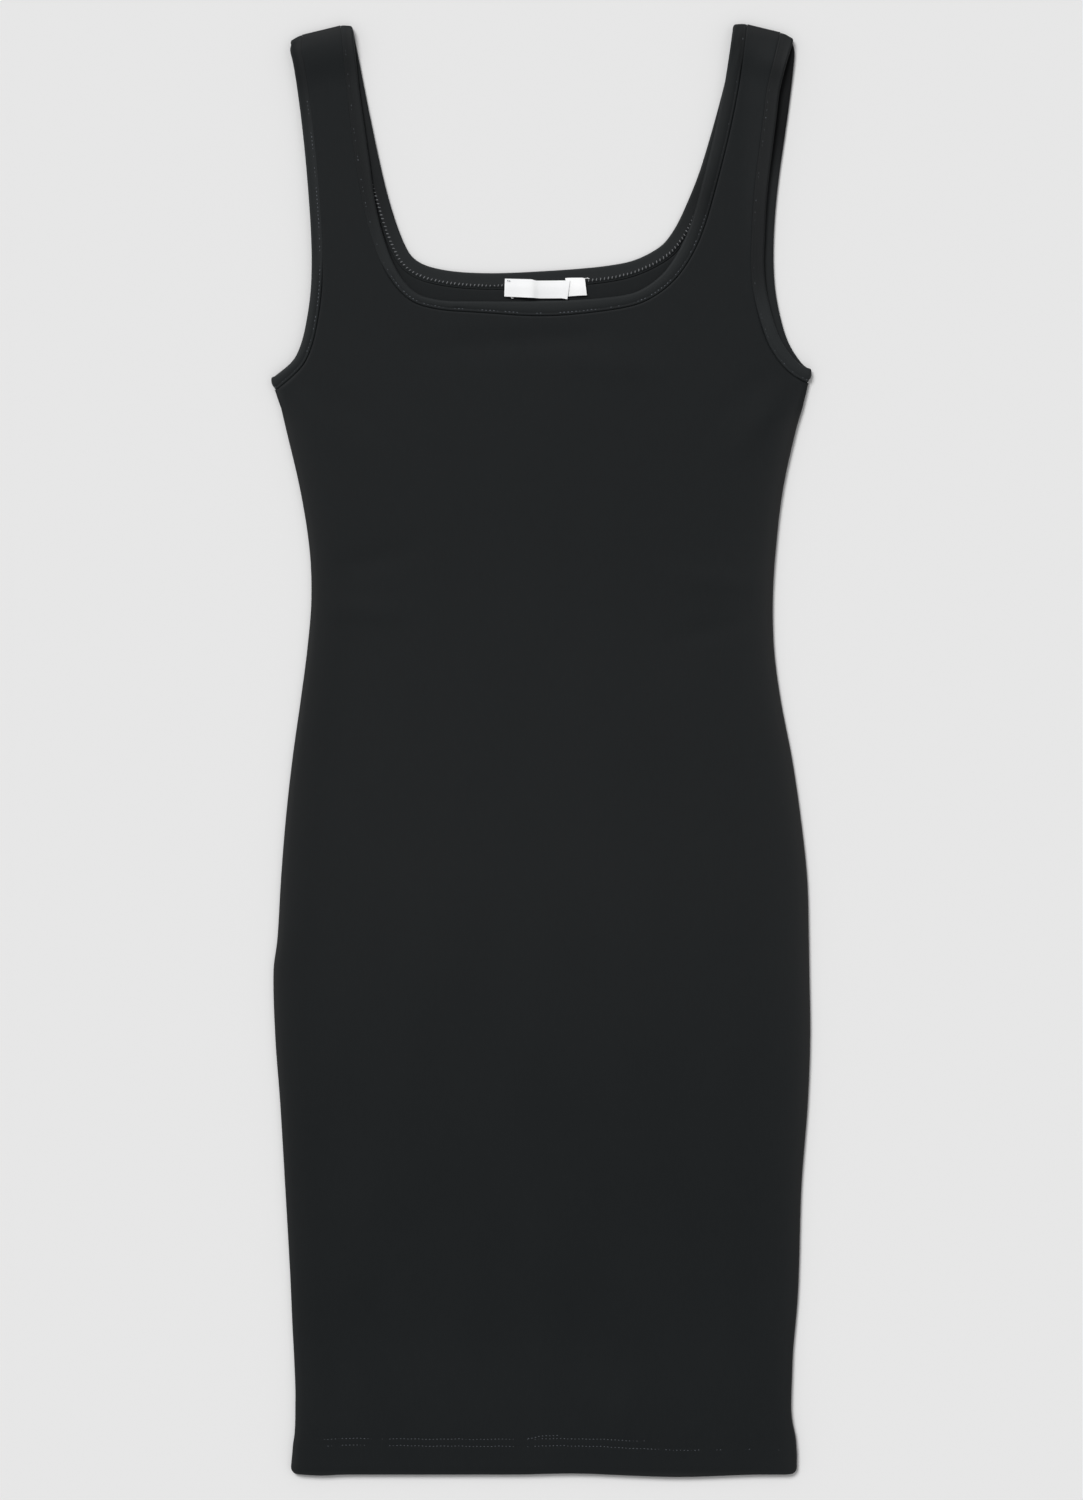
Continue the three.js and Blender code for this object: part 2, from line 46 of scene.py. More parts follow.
# The cloth, its seams and its folded edges
CLOTH = 0.9
BAND = 2.2
HEM_FOLD = 2.0
SEAM_GAP = 0.3
HEM_DEPTH = 24
HEM_CORNER = 5.2
SIDE_ROUND = 4.5
MID_LEVEL = BAND + SEAM_GAP / 2

# Levels of the front panel's face over the hem, the body and the straps, and its smaller rises and dips
HEM_TOP = 2 * BAND + SEAM_GAP
HEM_SLOPE = 80
BODY_TOP = 2.7
CHEST_UP = (540, 700)
STRAP_TOP = 4.1
EDGE_PUFF = 0.9
PUFF_REACH = 32
SEAM_ROLL = 1.3
SEAM_SINK = 0.62
LEAST_SINK = 0.04
STRAP_ARCH = 1.3
STRAP_FOLD = 2.05
HEM_ROLL = 0.12

# The right strap's open edge: how high it lifts, and from where to where it rises
RIGHT_ARM = 132
RIGHT_STRAP_LIFT = 2.5
OPEN_EDGE = {"across": (RIGHT_ARM, 156), "up": (770, 850), "below_fold": (3, 24)}

# Left end of the scoop, and the heights at which a seam's groove fades up the left strap and right armhole
SCOOP_LEFT = -75
GROOVE_FADES = {"left_strap": (782, 806), "right_arm": (748, 785)}


def table(columns, rows):
    """A short table, as one array for each named column."""
    return dict(zip(columns.split(), np.array(rows, float).T))


# Half outlines of the body, from the hem to below the arm
SIDES = table("up left right", [
    (0, -166.1, 168.7), (7, -165.7, 168.4), (13, -165.1, 168.4), (20, -164.5, 168.0),
    (26, -163.6, 167.3), (33, -163.1, 165.8), (38, -163.0, 165.0), (44, -163.0, 164.6),
    (54, -162.9, 164.8), (68, -163.4, 165.3), (83, -164.1, 166.0), (98, -164.9, 167.4),
    (116, -165.7, 168.9), (136, -166.6, 169.8), (190, -169.7, 171.4), (245, -173.0, 175.6),
    (290, -176.3, 177.2), (333, -177.4, 176.6), (353, -174.9, 176.3), (393, -172.5, 175.2),
    (432, -169.4, 171.1), (472, -165.0, 165.3), (512, -159.4, 157.6), (545, -155.1, 153.3),
    (578, -152.4, 152.5), (611, -153.6, 154.5), (650, -159.7, 159.1), (690, -169.0, 167.8),
    (704, -172.3, 172.0),
])
SIDE_TOP = SIDES["up"][-1]

# Free edges of the armholes, from below the arm to the shoulder
ARMHOLES = table("up front_left back_left front_right back_right", [
    (733, -167.0, -166.6, 170.6, 172.7), (738, -162.9, -162.2, 165.3, 168.7),
    (749, -158.4, -156.5, 157.8, 162.3), (775, -153.5, -150.3, 149.5, 155.3),
    (795, -152.2, -148.3, 146.8, 153.2), (815, -152.4, -148.2, 147.0, 153.1),
    (845, -154.2, -149.8, 148.5, 155.2), (875, -156.8, -152.8, 152.1, 159.1),
    (894, -158.9, -155.6, 154.5, 162.0), (914, -161.5, -159.4, 157.0, 164.4),
    (931, -164.2, -163.4, 161.2, 166.4), (940, -166.2, -166.0, 163.8, 166.9),
])

# Free edges of the neckline, from the left shoulder to the right, with the band's width there
FRONT_NECK = table("across up band", [
    (-120.8, 916.0, 7.8), (-117.6, 893.0, 8.6), (-113.5, 864.6, 8.8), (-110.2, 841.0, 8.0),
    (-105.6, 820.4, 7.2), (-98.8, 801.2, 6.8), (-91.1, 788.0, 6.2), (-82.0, 779.6, 5.8),
    (-67.3, 775.6, 6.0), (-40.9, 774.8, 7.2), (0.0, 774.8, 9.5), (33.7, 776.4, 8.6),
    (60.1, 780.3, 7.8), (71.3, 786.0, 8.0), (81.5, 795.0, 8.4), (91.1, 809.8, 9.0),
    (99.0, 828.3, 9.0), (106.3, 854.7, 9.2), (113.3, 882.7, 9.3), (119.7, 913.4, 9.3),
    (123.7, 938.5, 9.2),
])
BACK_NECK = table("across up band", [
    (-120.8, 933.9, 8.4), (-117.0, 914.1, 8.6), (-110.9, 884.0, 8.6), (-104.4, 854.7, 8.6),
    (-99.0, 834.9, 8.6), (-91.9, 815.1, 8.6), (-86.3, 805.2, 8.6), (-79.0, 799.8, 8.8),
    (-65.0, 795.8, 8.9), (-40.0, 793.7, 9.2), (0.0, 794.9, 9.3), (44.9, 798.8, 9.2),
    (62.0, 802.6, 8.4), (77.9, 811.1, 8.4), (84.5, 818.1, 8.6), (91.1, 829.4, 8.8),
    (97.7, 844.3, 9.0), (104.6, 862.1, 9.0), (111.2, 884.0, 9.0), (119.1, 913.0, 9.0),
    (124.8, 938.5, 9.0),
])

# Widths of the armhole bands, and the shoulder folds that the strap tops lie on
ARM_BAND = {"left": 7.0, "right": 8.4}
SHOULDER_UP = {"left": 955.8, "right": 957.2}
SHOULDER_SLOPE = 0.243
STRAP_MIDDLE = 130
STRAP_CORNER_DROP = 3.0
STRAP_ENDS = {
    "left": {"arm": -165.7, "neck": -124.8, "arm_band": 7.3, "neck_band": 7.8},
    "right": {"arm": 165.6, "neck": 126.0, "arm_band": 8.4, "neck_band": 9.0},
}

# The fold of each armhole band below the arm: its free end, its seam end, the panels' corner, and its bulge
UNDERARM = {
    "left": {"free": (-176.6, 725.2), "seam": (-174.5, 717.0), "panel": (-176.5, 716.2)},
    "right": {"free": (175.4, 730.8), "seam": (173.9, 721.6), "panel": (176.0, 720.6)},
}
UNDERARM_BULGE = {"left": 2.6, "right": 3.6}

# Where the hem's edge dips towards the viewer
HEM_WAVES = table("across reach dip", [
    (-146, 16, 0.7), (18, 36, -0.7), (90, 58, 1.6),
])

# Heights of the hem's two rows of stitching, their ends, and how far and wide they sink the cloth
HEM_ROWS = ("lower", "upper")
HEM_ROW_ENDS = (-158, 161)
OVERLAP_ENDS = (-9, 10)
HEM_TUNNEL = 0.08
TUNNEL_REACH = 0.85
LEAST_TUNNEL = 0.1
HEM_STITCHING = table("across lower upper", [
    (-166, 20.0, 24.2), (-120, 19.6, 24.0), (-60, 19.0, 23.6), (0, 18.8, 23.5), (60, 18.3, 23.2),
    (110, 17.4, 22.6), (168, 16.4, 22.0),
])

# How plainly each of the two rows shows from place to place, where the cloth does not swallow it
HEM_SHOWING = table("across lower upper", [
    (-150, 0.0, 0.0), (-140, 0.4, 0.5), (-135, 0.1, 0.3), (-131, 0.9, 0.8), (-122, 0.8, 0.9),
    (-118, 0.3, 0.5), (-104, 0.0, 0.1), (-100, 0.5, 0.6), (-86, 0.7, 0.7), (-83, 1.0, 1.0),
    (-67, 0.8, 0.8), (-52, 0.5, 0.4), (-31, 0.7, 0.6), (-15, 0.2, 0.1), (-5, 0.4, 0.2),
    (4, 1.0, 0.9), (24, 1.0, 0.8), (50, 0.8, 0.8), (58, 0.7, 0.3), (75, 0.6, 0.2), (78, 0.0, 0.0),
    (82, 0.6, 0.0), (103, 0.6, 0.0), (106, 0.0, 0.0), (114, 0.0, 0.0), (115, 0.5, 0.0),
    (119, 0.5, 0.0), (120, 0.0, 0.0), (135, 0.0, 0.0), (136, 0.5, 0.0), (139, 0.4, 0.0),
    (140, 0.0, 0.0), (155, 0.0, 0.0), (156, 0.4, 0.1), (159, 0.0, 0.0),
])

# Painted light on both panels: how much paler they are painted from the hem to the shoulders, most over the
# middle of the body
PAINTED_BODY_LIGHT = table("up share", [
    (100, 0.0), (240, 0.03), (400, 0.15), (560, 0.12), (700, 0.06), (850, 0.05), (900, 0.0),
])

# Soft creases in each panel: middle, direction in degrees, half length, spread and lift
CREASE_COLUMNS = "across up heading reach spread lift"
FRONT_CREASES = table(CREASE_COLUMNS, [
    (-141, 692, -52, 44, 6.0, 0.55),
    (-128, 704, -38, 36, 5.0, -0.40),
    (146, 697, 231, 40, 6.5, 0.50),
    (131, 712, 222, 33, 5.0, -0.35),
    (-18, 748, 4, 82, 9.0, -0.40),
    (46, 733, -7, 58, 11.0, 0.35),
    (-112, 604, 14, 46, 7.5, -0.35),
    (-121, 571, -8, 41, 6.0, 0.45),
    (117, 590, 172, 50, 7.0, 0.40),
    (109, 557, 191, 37, 6.0, -0.35),
    (-62, 366, 87, 128, 24.0, 0.40),
    (71, 301, 94, 149, 27.0, 0.35),
    (8, 214, 91, 96, 19.0, -0.25),
    (-118, 148, 83, 92, 15.0, 0.40),
    (126, 118, 97, 84, 13.0, 0.45),
    (-134, 58, 96, 33, 6.5, -0.40),
    (57, 49, 86, 29, 8.0, 0.35),
])
BACK_CREASES = table(CREASE_COLUMNS, [
    (-137, 686, -47, 49, 7.0, 0.42),
    (139, 700, 228, 43, 6.0, 0.38),
    (22, 742, -5, 74, 10.0, 0.30),
    (-104, 592, 9, 52, 7.0, 0.40),
    (113, 611, 168, 39, 6.0, 0.36),
    (97, 566, 187, 47, 7.5, 0.28),
    (48, 377, 93, 133, 22.0, 0.34),
    (-83, 281, 86, 144, 25.0, 0.30),
    (-12, 163, 90, 88, 17.0, 0.26),
    (121, 131, 84, 79, 14.0, 0.38),
    (-127, 102, 98, 70, 12.0, 0.40),
])

# The two bare labels inside the back neck, each sewn on by its top edge: their edges and how they lift
LABELS = {
    "neck_label": {
        "top": [(-24.5, 789.8), (-6.8, 789.3), (-4.0, 788.5), (18.5, 788.6)],
        "bottom": [(-24.9, 778.1), (-11.6, 777.4), (-1.5, 776.9), (13.1, 776.9), (16.7, 776.2)],
        "lift": [(-25, 0.6), (-16, 0.9), (-6.5, 1.5), (-2.5, 0.2), (3, 0.0), (9, 0.3), (14, 0.8), (19, 1.1)],
    },
    "size_tab": {
        "top": [(15.4, 790.2), (18.7, 790.4), (26.8, 790.4), (28.3, 789.8)],
        "bottom": [(16.6, 778.1), (22.8, 778.6), (29.6, 778.9)],
        "lift": [(15, 0.0), (20, 0.05), (25, 0.35), (30, 0.15)],
    },
}
LABEL_WALL = 0.4

# The small tack on the main label and the two loose tails of thread: across, up and level
LABEL_TACK = [(-22.6, 788.3, 3.55), (-21.4, 788.2, 3.6)]
THREAD_TAILS = (
    [(28.0, 789.9, 2.7), (29.8, 790.2, 2.6), (31.0, 789.9, 2.5)],
    [(-20.4, 777.9, 1.9), (-19.9, 776.9, 1.8), (-19.2, 777.1, 1.8)],
)

# How the dress is divided: as coarsely as its main form needs, then each part into finer ones
STRAP_ROWS = 8
ARMHOLE_ROWS = 6
SCOOP_CELLS = 20
FINER = 4
TURN_WEIGHT = 60
ARM_ROOT_UP = 800
NECK_ROOT_UP = 815
ROW_STEP = 4.6
STITCHED_FROM = 15
STITCHED_TO = 28
STITCHED_STEP = 0.65
LABEL_COLUMNS = 45
LABEL_ROWS = 17
SIDE_TURNS = np.radians([0, 18, 36, 54, 72, 90])
EDGE_INSETS = np.array([6.2, 8.4, 11.2, 14.8, 19.5, 25.5, 33, 40, 46, 51, 55, 58])
STRAP_SHARES = np.array([
    0, 0.008, 0.02, 0.036, 0.058, 0.1, 0.18, 0.29, 0.41, 0.53, 0.65, 0.76, 0.86, 0.93, 0.962, 0.98, 0.992, 1,
])
SEAM_STEPS = np.array([0.3, 0.55, 0.75, 0.88, 0.96, 1.0])
FOLD_STEPS = 10
PANEL_CRISP = 40
BAND_CRISP = 60

FREE, SEAM, PANEL = range(3)
Edge = namedtuple("Edge", "rungs first_out last_out")
Layer = namedtuple("Layer", "facing neck left right creases")


def lerp(start, end, share):
    return start + (end - start) * share


def ease(value, low, high):
    """From 0 at low to 1 at high, smoothly."""
    share = np.clip((np.asarray(value, float) - low) / (high - low), 0, 1)
    return share * share * (3 - 2 * share)


def unit(direction):
    return np.asarray(direction, float) / np.linalg.norm(direction, axis=-1, keepdims=True)


def clockwise(direction):
    direction = np.asarray(direction, float)
    return unit(np.stack([direction[..., 1], -direction[..., 0]], axis=-1))


def smooth_at(places, values, where):
    """A smooth value between the given ones, at each place asked for."""
    last = len(places) - 1
    index = np.arange(last + 1)
    before, after = np.maximum(index - 1, 0), np.minimum(index + 1, last)
    slopes = (values[after] - values[before]) / (places[after] - places[before])
    i = np.clip(np.searchsorted(places, where) - 1, 0, last - 1)
    span = places[i + 1] - places[i]
    t = np.clip((where - places[i]) / span, 0, 1)
    rise = slopes[i] * span * (t ** 3 - 2 * t ** 2 + t)
    fall = slopes[i + 1] * span * (t ** 3 - t ** 2)
    return lerp(values[i], values[i + 1], t * t * (3 - 2 * t)) + rise + fall


def side_at(side, up):
    return smooth_at(SIDES["up"], SIDES[side], up)


def curve_at(points, shares):
    """Places on the smooth curve through points, at shares of the way along it."""
    last = len(points) - 1
    place = np.clip(shares, 0, 1) * last
    cell = np.minimum(place.astype(int), last - 1)
    t = (place - cell)[:, None]
    ends = np.vstack([2 * points[0] - points[1], points, 2 * points[-1] - points[-2]])
    before, start, end, after = (ends[cell + k] for k in range(4))
    first, middle, last_gap = (
        np.sum((b - a) ** 2, axis=1)[:, None] ** 0.25
        for a, b in ((before, start), (start, end), (end, after))
    )
    leave = (start - before) / first - (end - before) / (first + middle) + (end - start) / middle
    arrive = (end - start) / middle - (after - start) / (middle + last_gap) + (after - end) / last_gap
    leave, arrive = leave * middle, arrive * middle
    bend = 2 * (start - end) + leave + arrive
    swing = 3 * (end - start) - 2 * leave - arrive
    return start + t * (leave + t * (swing + t * bend))


def fold_up(across):
    height = np.where(np.asarray(across) < 0, SHOULDER_UP["left"], SHOULDER_UP["right"])
    return height - SHOULDER_SLOPE * (np.abs(across) - STRAP_MIDDLE)


def shoulder_rung(side, kind):
    """The crossing of a band at the shoulder's fold."""
    end = STRAP_ENDS[side]
    width = end[f"{kind}_band"]
    inward = -np.sign(end[kind]) if kind == "arm" else np.sign(end[kind])
    places = []
    for inset, drop in ((0, STRAP_CORNER_DROP), (width, 0), (width + SEAM_GAP, 0)):
        across = end[kind] + inward * inset
        places.append((across, fold_up(across) - drop))
    return np.array(places)


def shoulder_out(side):
    return unit((-SHOULDER_SLOPE if side == "left" else SHOULDER_SLOPE, 1))


def underarm_rung(side):
    return np.array([UNDERARM[side][end] for end in ("free", "seam", "panel")])


def underarm_out(side):
    free, seam, _ = underarm_rung(side)
    out = clockwise(seam - free)
    return -out if side == "right" else out


def rungs_along(curve, start, end, count, cloth_on_right):
    """Crossings of a band along its free edge, closer together where the edge turns."""
    shares = np.linspace(start, end, 241)
    steps = np.diff(curve_at(curve, shares)[:, :2], axis=0)
    headings = np.unwrap(np.arctan2(steps[:, 1], steps[:, 0]))
    turns = np.abs(np.diff(headings, prepend=headings[0]))
    reach = np.append(0, np.cumsum(np.hypot(*steps.T) + TURN_WEIGHT * turns))
    picks = np.interp(np.linspace(0, reach[-1], count + 1), reach, shares)
    points = curve_at(curve, picks)
    small = 1e-4
    inward = clockwise(curve_at(curve, picks + small)[:, :2] - curve_at(curve, picks - small)[:, :2])
    if not cloth_on_right:
        inward = -inward
    free, band = points[:, :2], points[:, 2:]
    return np.stack([free, free + inward * band, free + inward * (band + SEAM_GAP)], axis=1)


def share_at_height(curve, up, from_end):
    """The share of a curve at which it passes a height, looking from one of its ends."""
    shares = np.linspace(0, 1, 2001)
    above = curve_at(curve, shares)[:, 1] > up
    crossings = np.flatnonzero(above[1:] != above[:-1])
    return shares[crossings[-1] + 1] if from_end else shares[crossings[0]]


def finer(rungs):
    """More crossings between the given ones, on smooth curves through them."""
    flat = rungs.reshape(len(rungs), -1)
    shares = np.linspace(0, 1, (len(rungs) - 1) * FINER + 1)
    return curve_at(flat, shares).reshape(-1, 3, 2)


def edge_along(curve, stops, counts, ends, outs, cloth_on_right=True):
    """An edge along its free curve, with so many crossings from each stop to the next."""
    parts = [
        rungs_along(curve, *stops[k:k + 2], count, cloth_on_right)[min(k, 1):]
        for k, count in enumerate(counts)
    ]
    rungs = np.concatenate(parts)
    rungs[0], rungs[-1] = ends
    return Edge(finer(rungs), *outs)


def neck_edge(rows):
    ends = shoulder_rung("left", "neck"), shoulder_rung("right", "neck")
    curve = np.vstack([
        (*ends[0][FREE], STRAP_ENDS["left"]["neck_band"]),
        np.transpose([*rows.values()]),
        (*ends[1][FREE], STRAP_ENDS["right"]["neck_band"]),
    ])
    roots = [share_at_height(curve, NECK_ROOT_UP, from_end) for from_end in (False, True)]
    counts = (STRAP_ROWS, SCOOP_CELLS, STRAP_ROWS)
    outs = shoulder_out("left"), shoulder_out("right")
    return edge_along(curve, (0, *roots, 1), counts, ends, outs)


def armhole_edge(side, column):
    ends = underarm_rung(side), shoulder_rung(side, "arm")
    width = ARM_BAND[side]
    rows = np.transpose([ARMHOLES[column], ARMHOLES["up"], 0 * ARMHOLES["up"] + width])
    curve = np.vstack([(*ends[0][FREE], width), rows, (*ends[1][FREE], width)])
    stops = 0, share_at_height(curve, ARM_ROOT_UP, False), 1
    outs = underarm_out(side), shoulder_out(side)
    return edge_along(curve, stops, (ARMHOLE_ROWS, STRAP_ROWS), ends, outs, side == "left")


def make_layer(name, facing, neck_rows, creases):
    left = armhole_edge("left", f"{name}_left")
    right = armhole_edge("right", f"{name}_right")
    return Layer(facing, neck_edge(neck_rows), left, right, creases)


def wall_at(up):
    return lerp(HEM_FOLD, CLOTH, ease(up, HEM_DEPTH, HEM_DEPTH + 2))


def front_top(up, from_side):
    """Level of the front panel's face, which sinks onto the back panel over the body."""
    hem = 1 - ease(up, HEM_DEPTH, HEM_DEPTH + HEM_SLOPE)
    chest = ease(up, *CHEST_UP)
    level = BODY_TOP + hem * (HEM_TOP - BODY_TOP) + chest * (STRAP_TOP - BODY_TOP)
    return level + EDGE_PUFF * (1 - ease(from_side, SIDE_ROUND, PUFF_REACH)) * (1 - hem) * (1 - chest)


def hem_dip(across, up):
    dips = [
        dip * (1 - ease(np.abs(across - middle), 0, reach))
        for middle, reach, dip in zip(HEM_WAVES["across"], HEM_WAVES["reach"], HEM_WAVES["dip"])
    ]
    return np.sum(dips, axis=0) * (1 - ease(up, 5, 60))


def crease_lift(creases, plan):
    """How far the soft creases lift or sink the cloth."""
    lift = np.zeros(plan.shape[:-1])
    for middle_x, middle_y, heading, reach, spread, height in zip(*creases.values()):
        turn = math.radians(heading)
        x, y = plan[..., 0] - middle_x, plan[..., 1] - middle_y
        along = x * math.cos(turn) + y * math.sin(turn)
        beside = y * math.cos(turn) - x * math.sin(turn)
        bow = beside + 0.0009 * reach * (along / reach) ** 2 * spread
        fade = np.clip(1 - (along / reach) ** 2, 0, 1) ** 2
        lift += height * fade * np.exp(-((bow / spread) ** 2))
    return lift


def hem_value(rows, row, across):
    return np.interp(across, rows["across"], rows[row])


def hem_tunnel(plan):
    """How far the hem's two rows of stitching sink the cloth."""
    across, up = plan[..., 0], plan[..., 1]
    return -HEM_TUNNEL * sum(
        lerp(LEAST_TUNNEL, 1, hem_value(HEM_SHOWING, row, across))
        * np.exp(-(((up - hem_value(HEM_STITCHING, row, across)) / TUNNEL_REACH) ** 2))
        for row in HEM_ROWS
    )


def distance_to(plan, line):
    """Distance of each place in plan from the line through the points given."""
    places = plan.reshape(-1, 2)
    best = np.full(len(places), np.inf)
    for start, end in zip(line[:-1], line[1:]):
        way = end - start
        share = np.clip((places - start) @ way / (way @ way), 0, 1)
        gap = np.hypot(*(places - start - share[:, None] * way).T)
        best = np.minimum(best, gap)
    return best.reshape(plan.shape[:-1])


def flat_pair(layer, plan, from_side):
    """The outer and inner points of a layer where it lies flat."""
    up = plan[..., 1]
    outer = front_top(up, from_side) if layer.facing > 0 else 0 * up
    inner = outer - layer.facing * wall_at(up)
    return np.stack([np.dstack([plan, outer]), np.dstack([plan, inner])])


def body_insets(width):
    """Distances of the body's columns from its left side, a row for each width."""
    edge = np.append(SIDE_ROUND * (1 - np.cos(SIDE_TURNS)), EDGE_INSETS)
    shares = np.linspace(0, 1, SCOOP_CELLS * FINER + 1)[1:-1]
    base = np.concatenate([edge, edge[-1] * (1 - 2 * shares), -edge[::-1]])
    scale = np.concatenate([0 * edge, shares, 0 * edge + 1])
    return base + scale * np.reshape(width, (-1, 1))


def side_rows(layer, left, right):
    """Rows across the body whose ends turn round the sides to the side seams."""
    width = (right - left)[:, 0]
    insets = body_insets(width)
    shares = insets / width[:, None]
    plan = np.dstack([left[:, :1] + insets, lerp(left[:, 1:], right[:, 1:], shares)])
    pair = flat_pair(layer, plan, np.minimum(insets, width[:, None] - insets))
    seam_level = front_top(plan[..., 1], 0) / 2
    radius = seam_level - SEAM_GAP / 2
    wall = wall_at(plan[..., 1])
    inside = np.maximum(radius - wall, SEAM_GAP / 2)
    turns = len(SIDE_TURNS)
    ends = ((left, 1, range(turns)), (right, -1, range(-1, -1 - turns, -1)))
    for edge, inward, columns in ends:
        for turn, c in zip(SIDE_TURNS, columns):
            for side, (reach, bend) in enumerate(((0, radius[:, c]), (wall[:, c], inside[:, c]))):
                inset = SIDE_ROUND - (SIDE_ROUND - reach) * math.cos(turn)
                rise = SEAM_GAP / 2 + bend * math.sin(turn)
                pair[side, :, c, 0] = edge[:, 0] + inward * inset
                pair[side, :, c, 2] = seam_level[:, c] + layer.facing * rise
    return pair


def hem_and_side_rows(layer):
    heights = np.concatenate([
        HEM_FOLD / 2 * (1 - np.cos(SIDE_TURNS)),
        [1.6, 2.4, 3.4, HEM_CORNER, 6.5, 9, 11.5, 13.5],
        np.arange(STITCHED_FROM, STITCHED_TO, STITCHED_STEP),
        np.linspace(STITCHED_TO, SIDE_TOP, round((SIDE_TOP - STITCHED_TO) / ROW_STEP)),
    ])
    low = np.clip(HEM_CORNER - heights, 0, HEM_CORNER)
    inset = HEM_CORNER - np.sqrt(HEM_CORNER ** 2 - low ** 2)
    left = np.stack([side_at("left", heights) + inset, heights], axis=1)
    right = np.stack([side_at("right", heights) - inset, heights], axis=1)
    pair = side_rows(layer, left, right)
    middle = pair.mean(axis=0)
    roundness = np.sqrt(np.clip(1 - (1 - heights / (HEM_FOLD / 2)).clip(0) ** 2, 0.02, 1))
    pair = middle + (pair - middle) * roundness[None, :, None, None]
    pair[..., 1] -= hem_dip(pair[..., 0], pair[..., 1])
    return pair


def rung_at(rungs, index):
    """A crossing between two of an edge's crossings."""
    low = min(int(index), len(rungs) - 2)
    return lerp(rungs[low], rungs[low + 1], index - low)


def strap_points(arm_rung, neck_rung):
    return lerp(arm_rung[PANEL], neck_rung[PANEL], STRAP_SHARES[:, None])


def root_line(layer):
    """The top line of the body: across the left strap's root, round the scoop, across the right one."""
    arm, first, last = ARMHOLE_ROWS * FINER, STRAP_ROWS * FINER, (STRAP_ROWS + SCOOP_CELLS) * FINER
    neck = layer.neck.rungs
    left = strap_points(layer.left.rungs[arm], neck[first])
    right = strap_points(layer.right.rungs[arm], neck[last])
    return np.vstack([left, neck[first + 1:last, PANEL], right[::-1]])


def armhole_body_rows(layer):
    """Rows between the armholes, which change from straight across to the root line."""
    root = root_line(layer)
    count = ARMHOLE_ROWS * FINER
    indices = np.concatenate([np.arange(0, count), count - 1 + SEAM_STEPS])
    starts = [edge.rungs[0, PANEL] for edge in (layer.left, layer.right)]
    ends = [edge.rungs[count, PANEL] for edge in (layer.left, layer.right)]
    width = starts[1][0] - starts[0][0]
    body_shares = body_insets(width)[0] / width
    root_shares = (root[:, 0] - ends[0][0]) / (ends[1][0] - ends[0][0])
    rows = []
    for index in indices:
        edges = [rung_at(edge.rungs, index)[PANEL] for edge in (layer.left, layer.right)]
        rises = [
            (edge[1] - start[1]) / (end[1] - start[1]) for edge, start, end in zip(edges, starts, ends)
        ]
        share = lerp(body_shares, root_shares, ease(index, 0, count))
        start = lerp(starts[0][1], starts[1][1], body_shares)
        up = lerp(start, root[:, 1], lerp(*rises, share))
        plan = np.stack([lerp(edges[0][0], edges[1][0], share), up], axis=1)[None]
        flat = flat_pair(layer, plan, np.inf)
        turned = side_rows(layer, edges[0][None], edges[1][None])
        rows.append(lerp(turned, flat, ease(index, 0, FINER)))
    return np.concatenate(rows, axis=1)


def strap_rows(layer, side):
    """Rows of one strap above its root, with its end turned down to the shoulder seam."""
    arm = (layer.left if side == "left" else layer.right).rungs
    neck = layer.neck.rungs
    count = STRAP_ROWS * FINER
    rows = []
    for j in range(1, count + 1):
        neck_index = count - j if side == "left" else count + SCOOP_CELLS * FINER + j
        plan = strap_points(arm[ARMHOLE_ROWS * FINER + j], neck[neck_index])[None]
        pair = flat_pair(layer, plan, np.inf)
        if layer.facing < 0:
            lifted = MID_LEVEL - SEAM_GAP / 2 - 0.5 - CLOTH
            fold = fold_up(plan[..., 0])
            pair[..., 2] += lifted * ease(plan[..., 1], fold - 22, fold)
        rows.append(pair)
    fold_points = strap_points(arm[-1], neck[0 if side == "left" else -1])
    out = shoulder_out(side)
    for turn in SIDE_TURNS[1:]:
        pair = []
        for wall in (0, CLOTH):
            plan = (fold_points + out * (STRAP_FOLD - wall) * math.sin(turn))[None]
            bend = max((STRAP_TOP - MID_LEVEL - wall) * math.cos(turn), SEAM_GAP / 2)
            pair.append(np.dstack([plan, np.full(plan.shape[:2], MID_LEVEL + layer.facing * bend)]))
        rows.append(np.stack(pair))
    return np.concatenate(rows, axis=1)


def grid_quads(indices):
    corners = [indices[:-1, :-1], indices[:-1, 1:], indices[1:, 1:], indices[1:, :-1]]
    return np.stack(corners, axis=-1).reshape(-1, 4)


def shell(outer, inner, quads):
    """Points and faces of a closed wall between two matching sheets of points."""
    shift = len(outer)
    rims = {}
    for quad in quads.tolist():
        for start, end in zip(quad, quad[1:] + quad[:1]):
            if rims.pop((end, start), None) is None:
                rims[start, end] = (end, start, start + shift, end + shift)
    faces = np.concatenate([quads, quads[:, ::-1] + shift, np.array(list(rims.values()))])
    return np.concatenate([outer, inner]), faces


def facing_out(points, faces):
    """The faces, turned so that they look out of the closed form."""
    a, b, c, d = (points[faces[:, k]] for k in range(4))
    volume = np.sum(a * np.cross(b, c)) + np.sum(a * np.cross(c, d))
    return faces[:, ::-1] if volume < 0 else faces


def placed(points):
    """Points of the dress in the scene: its straps arch before the shoulder, and its hem rolls under."""
    across, up, level = points.T
    below_fold = fold_up(across) - up
    arch = STRAP_ARCH * ease(below_fold, 36, 14) * ease(below_fold, -3, 10)
    rolled = 1 - HEM_ROLL * (1 - ease(up, 0, 5.5))
    open_edge = ease(across, *OPEN_EDGE["across"]) * ease(up, *OPEN_EDGE["up"])
    open_edge *= ease(below_fold, *OPEN_EDGE["below_fold"])
    level = level * (rolled + arch / STRAP_TOP) + RIGHT_STRAP_LIFT * open_edge * ease(level, 2.2, 2.6)
    return (np.column_stack([across, up, level]) - (*ORIGIN, 0)) / METRE


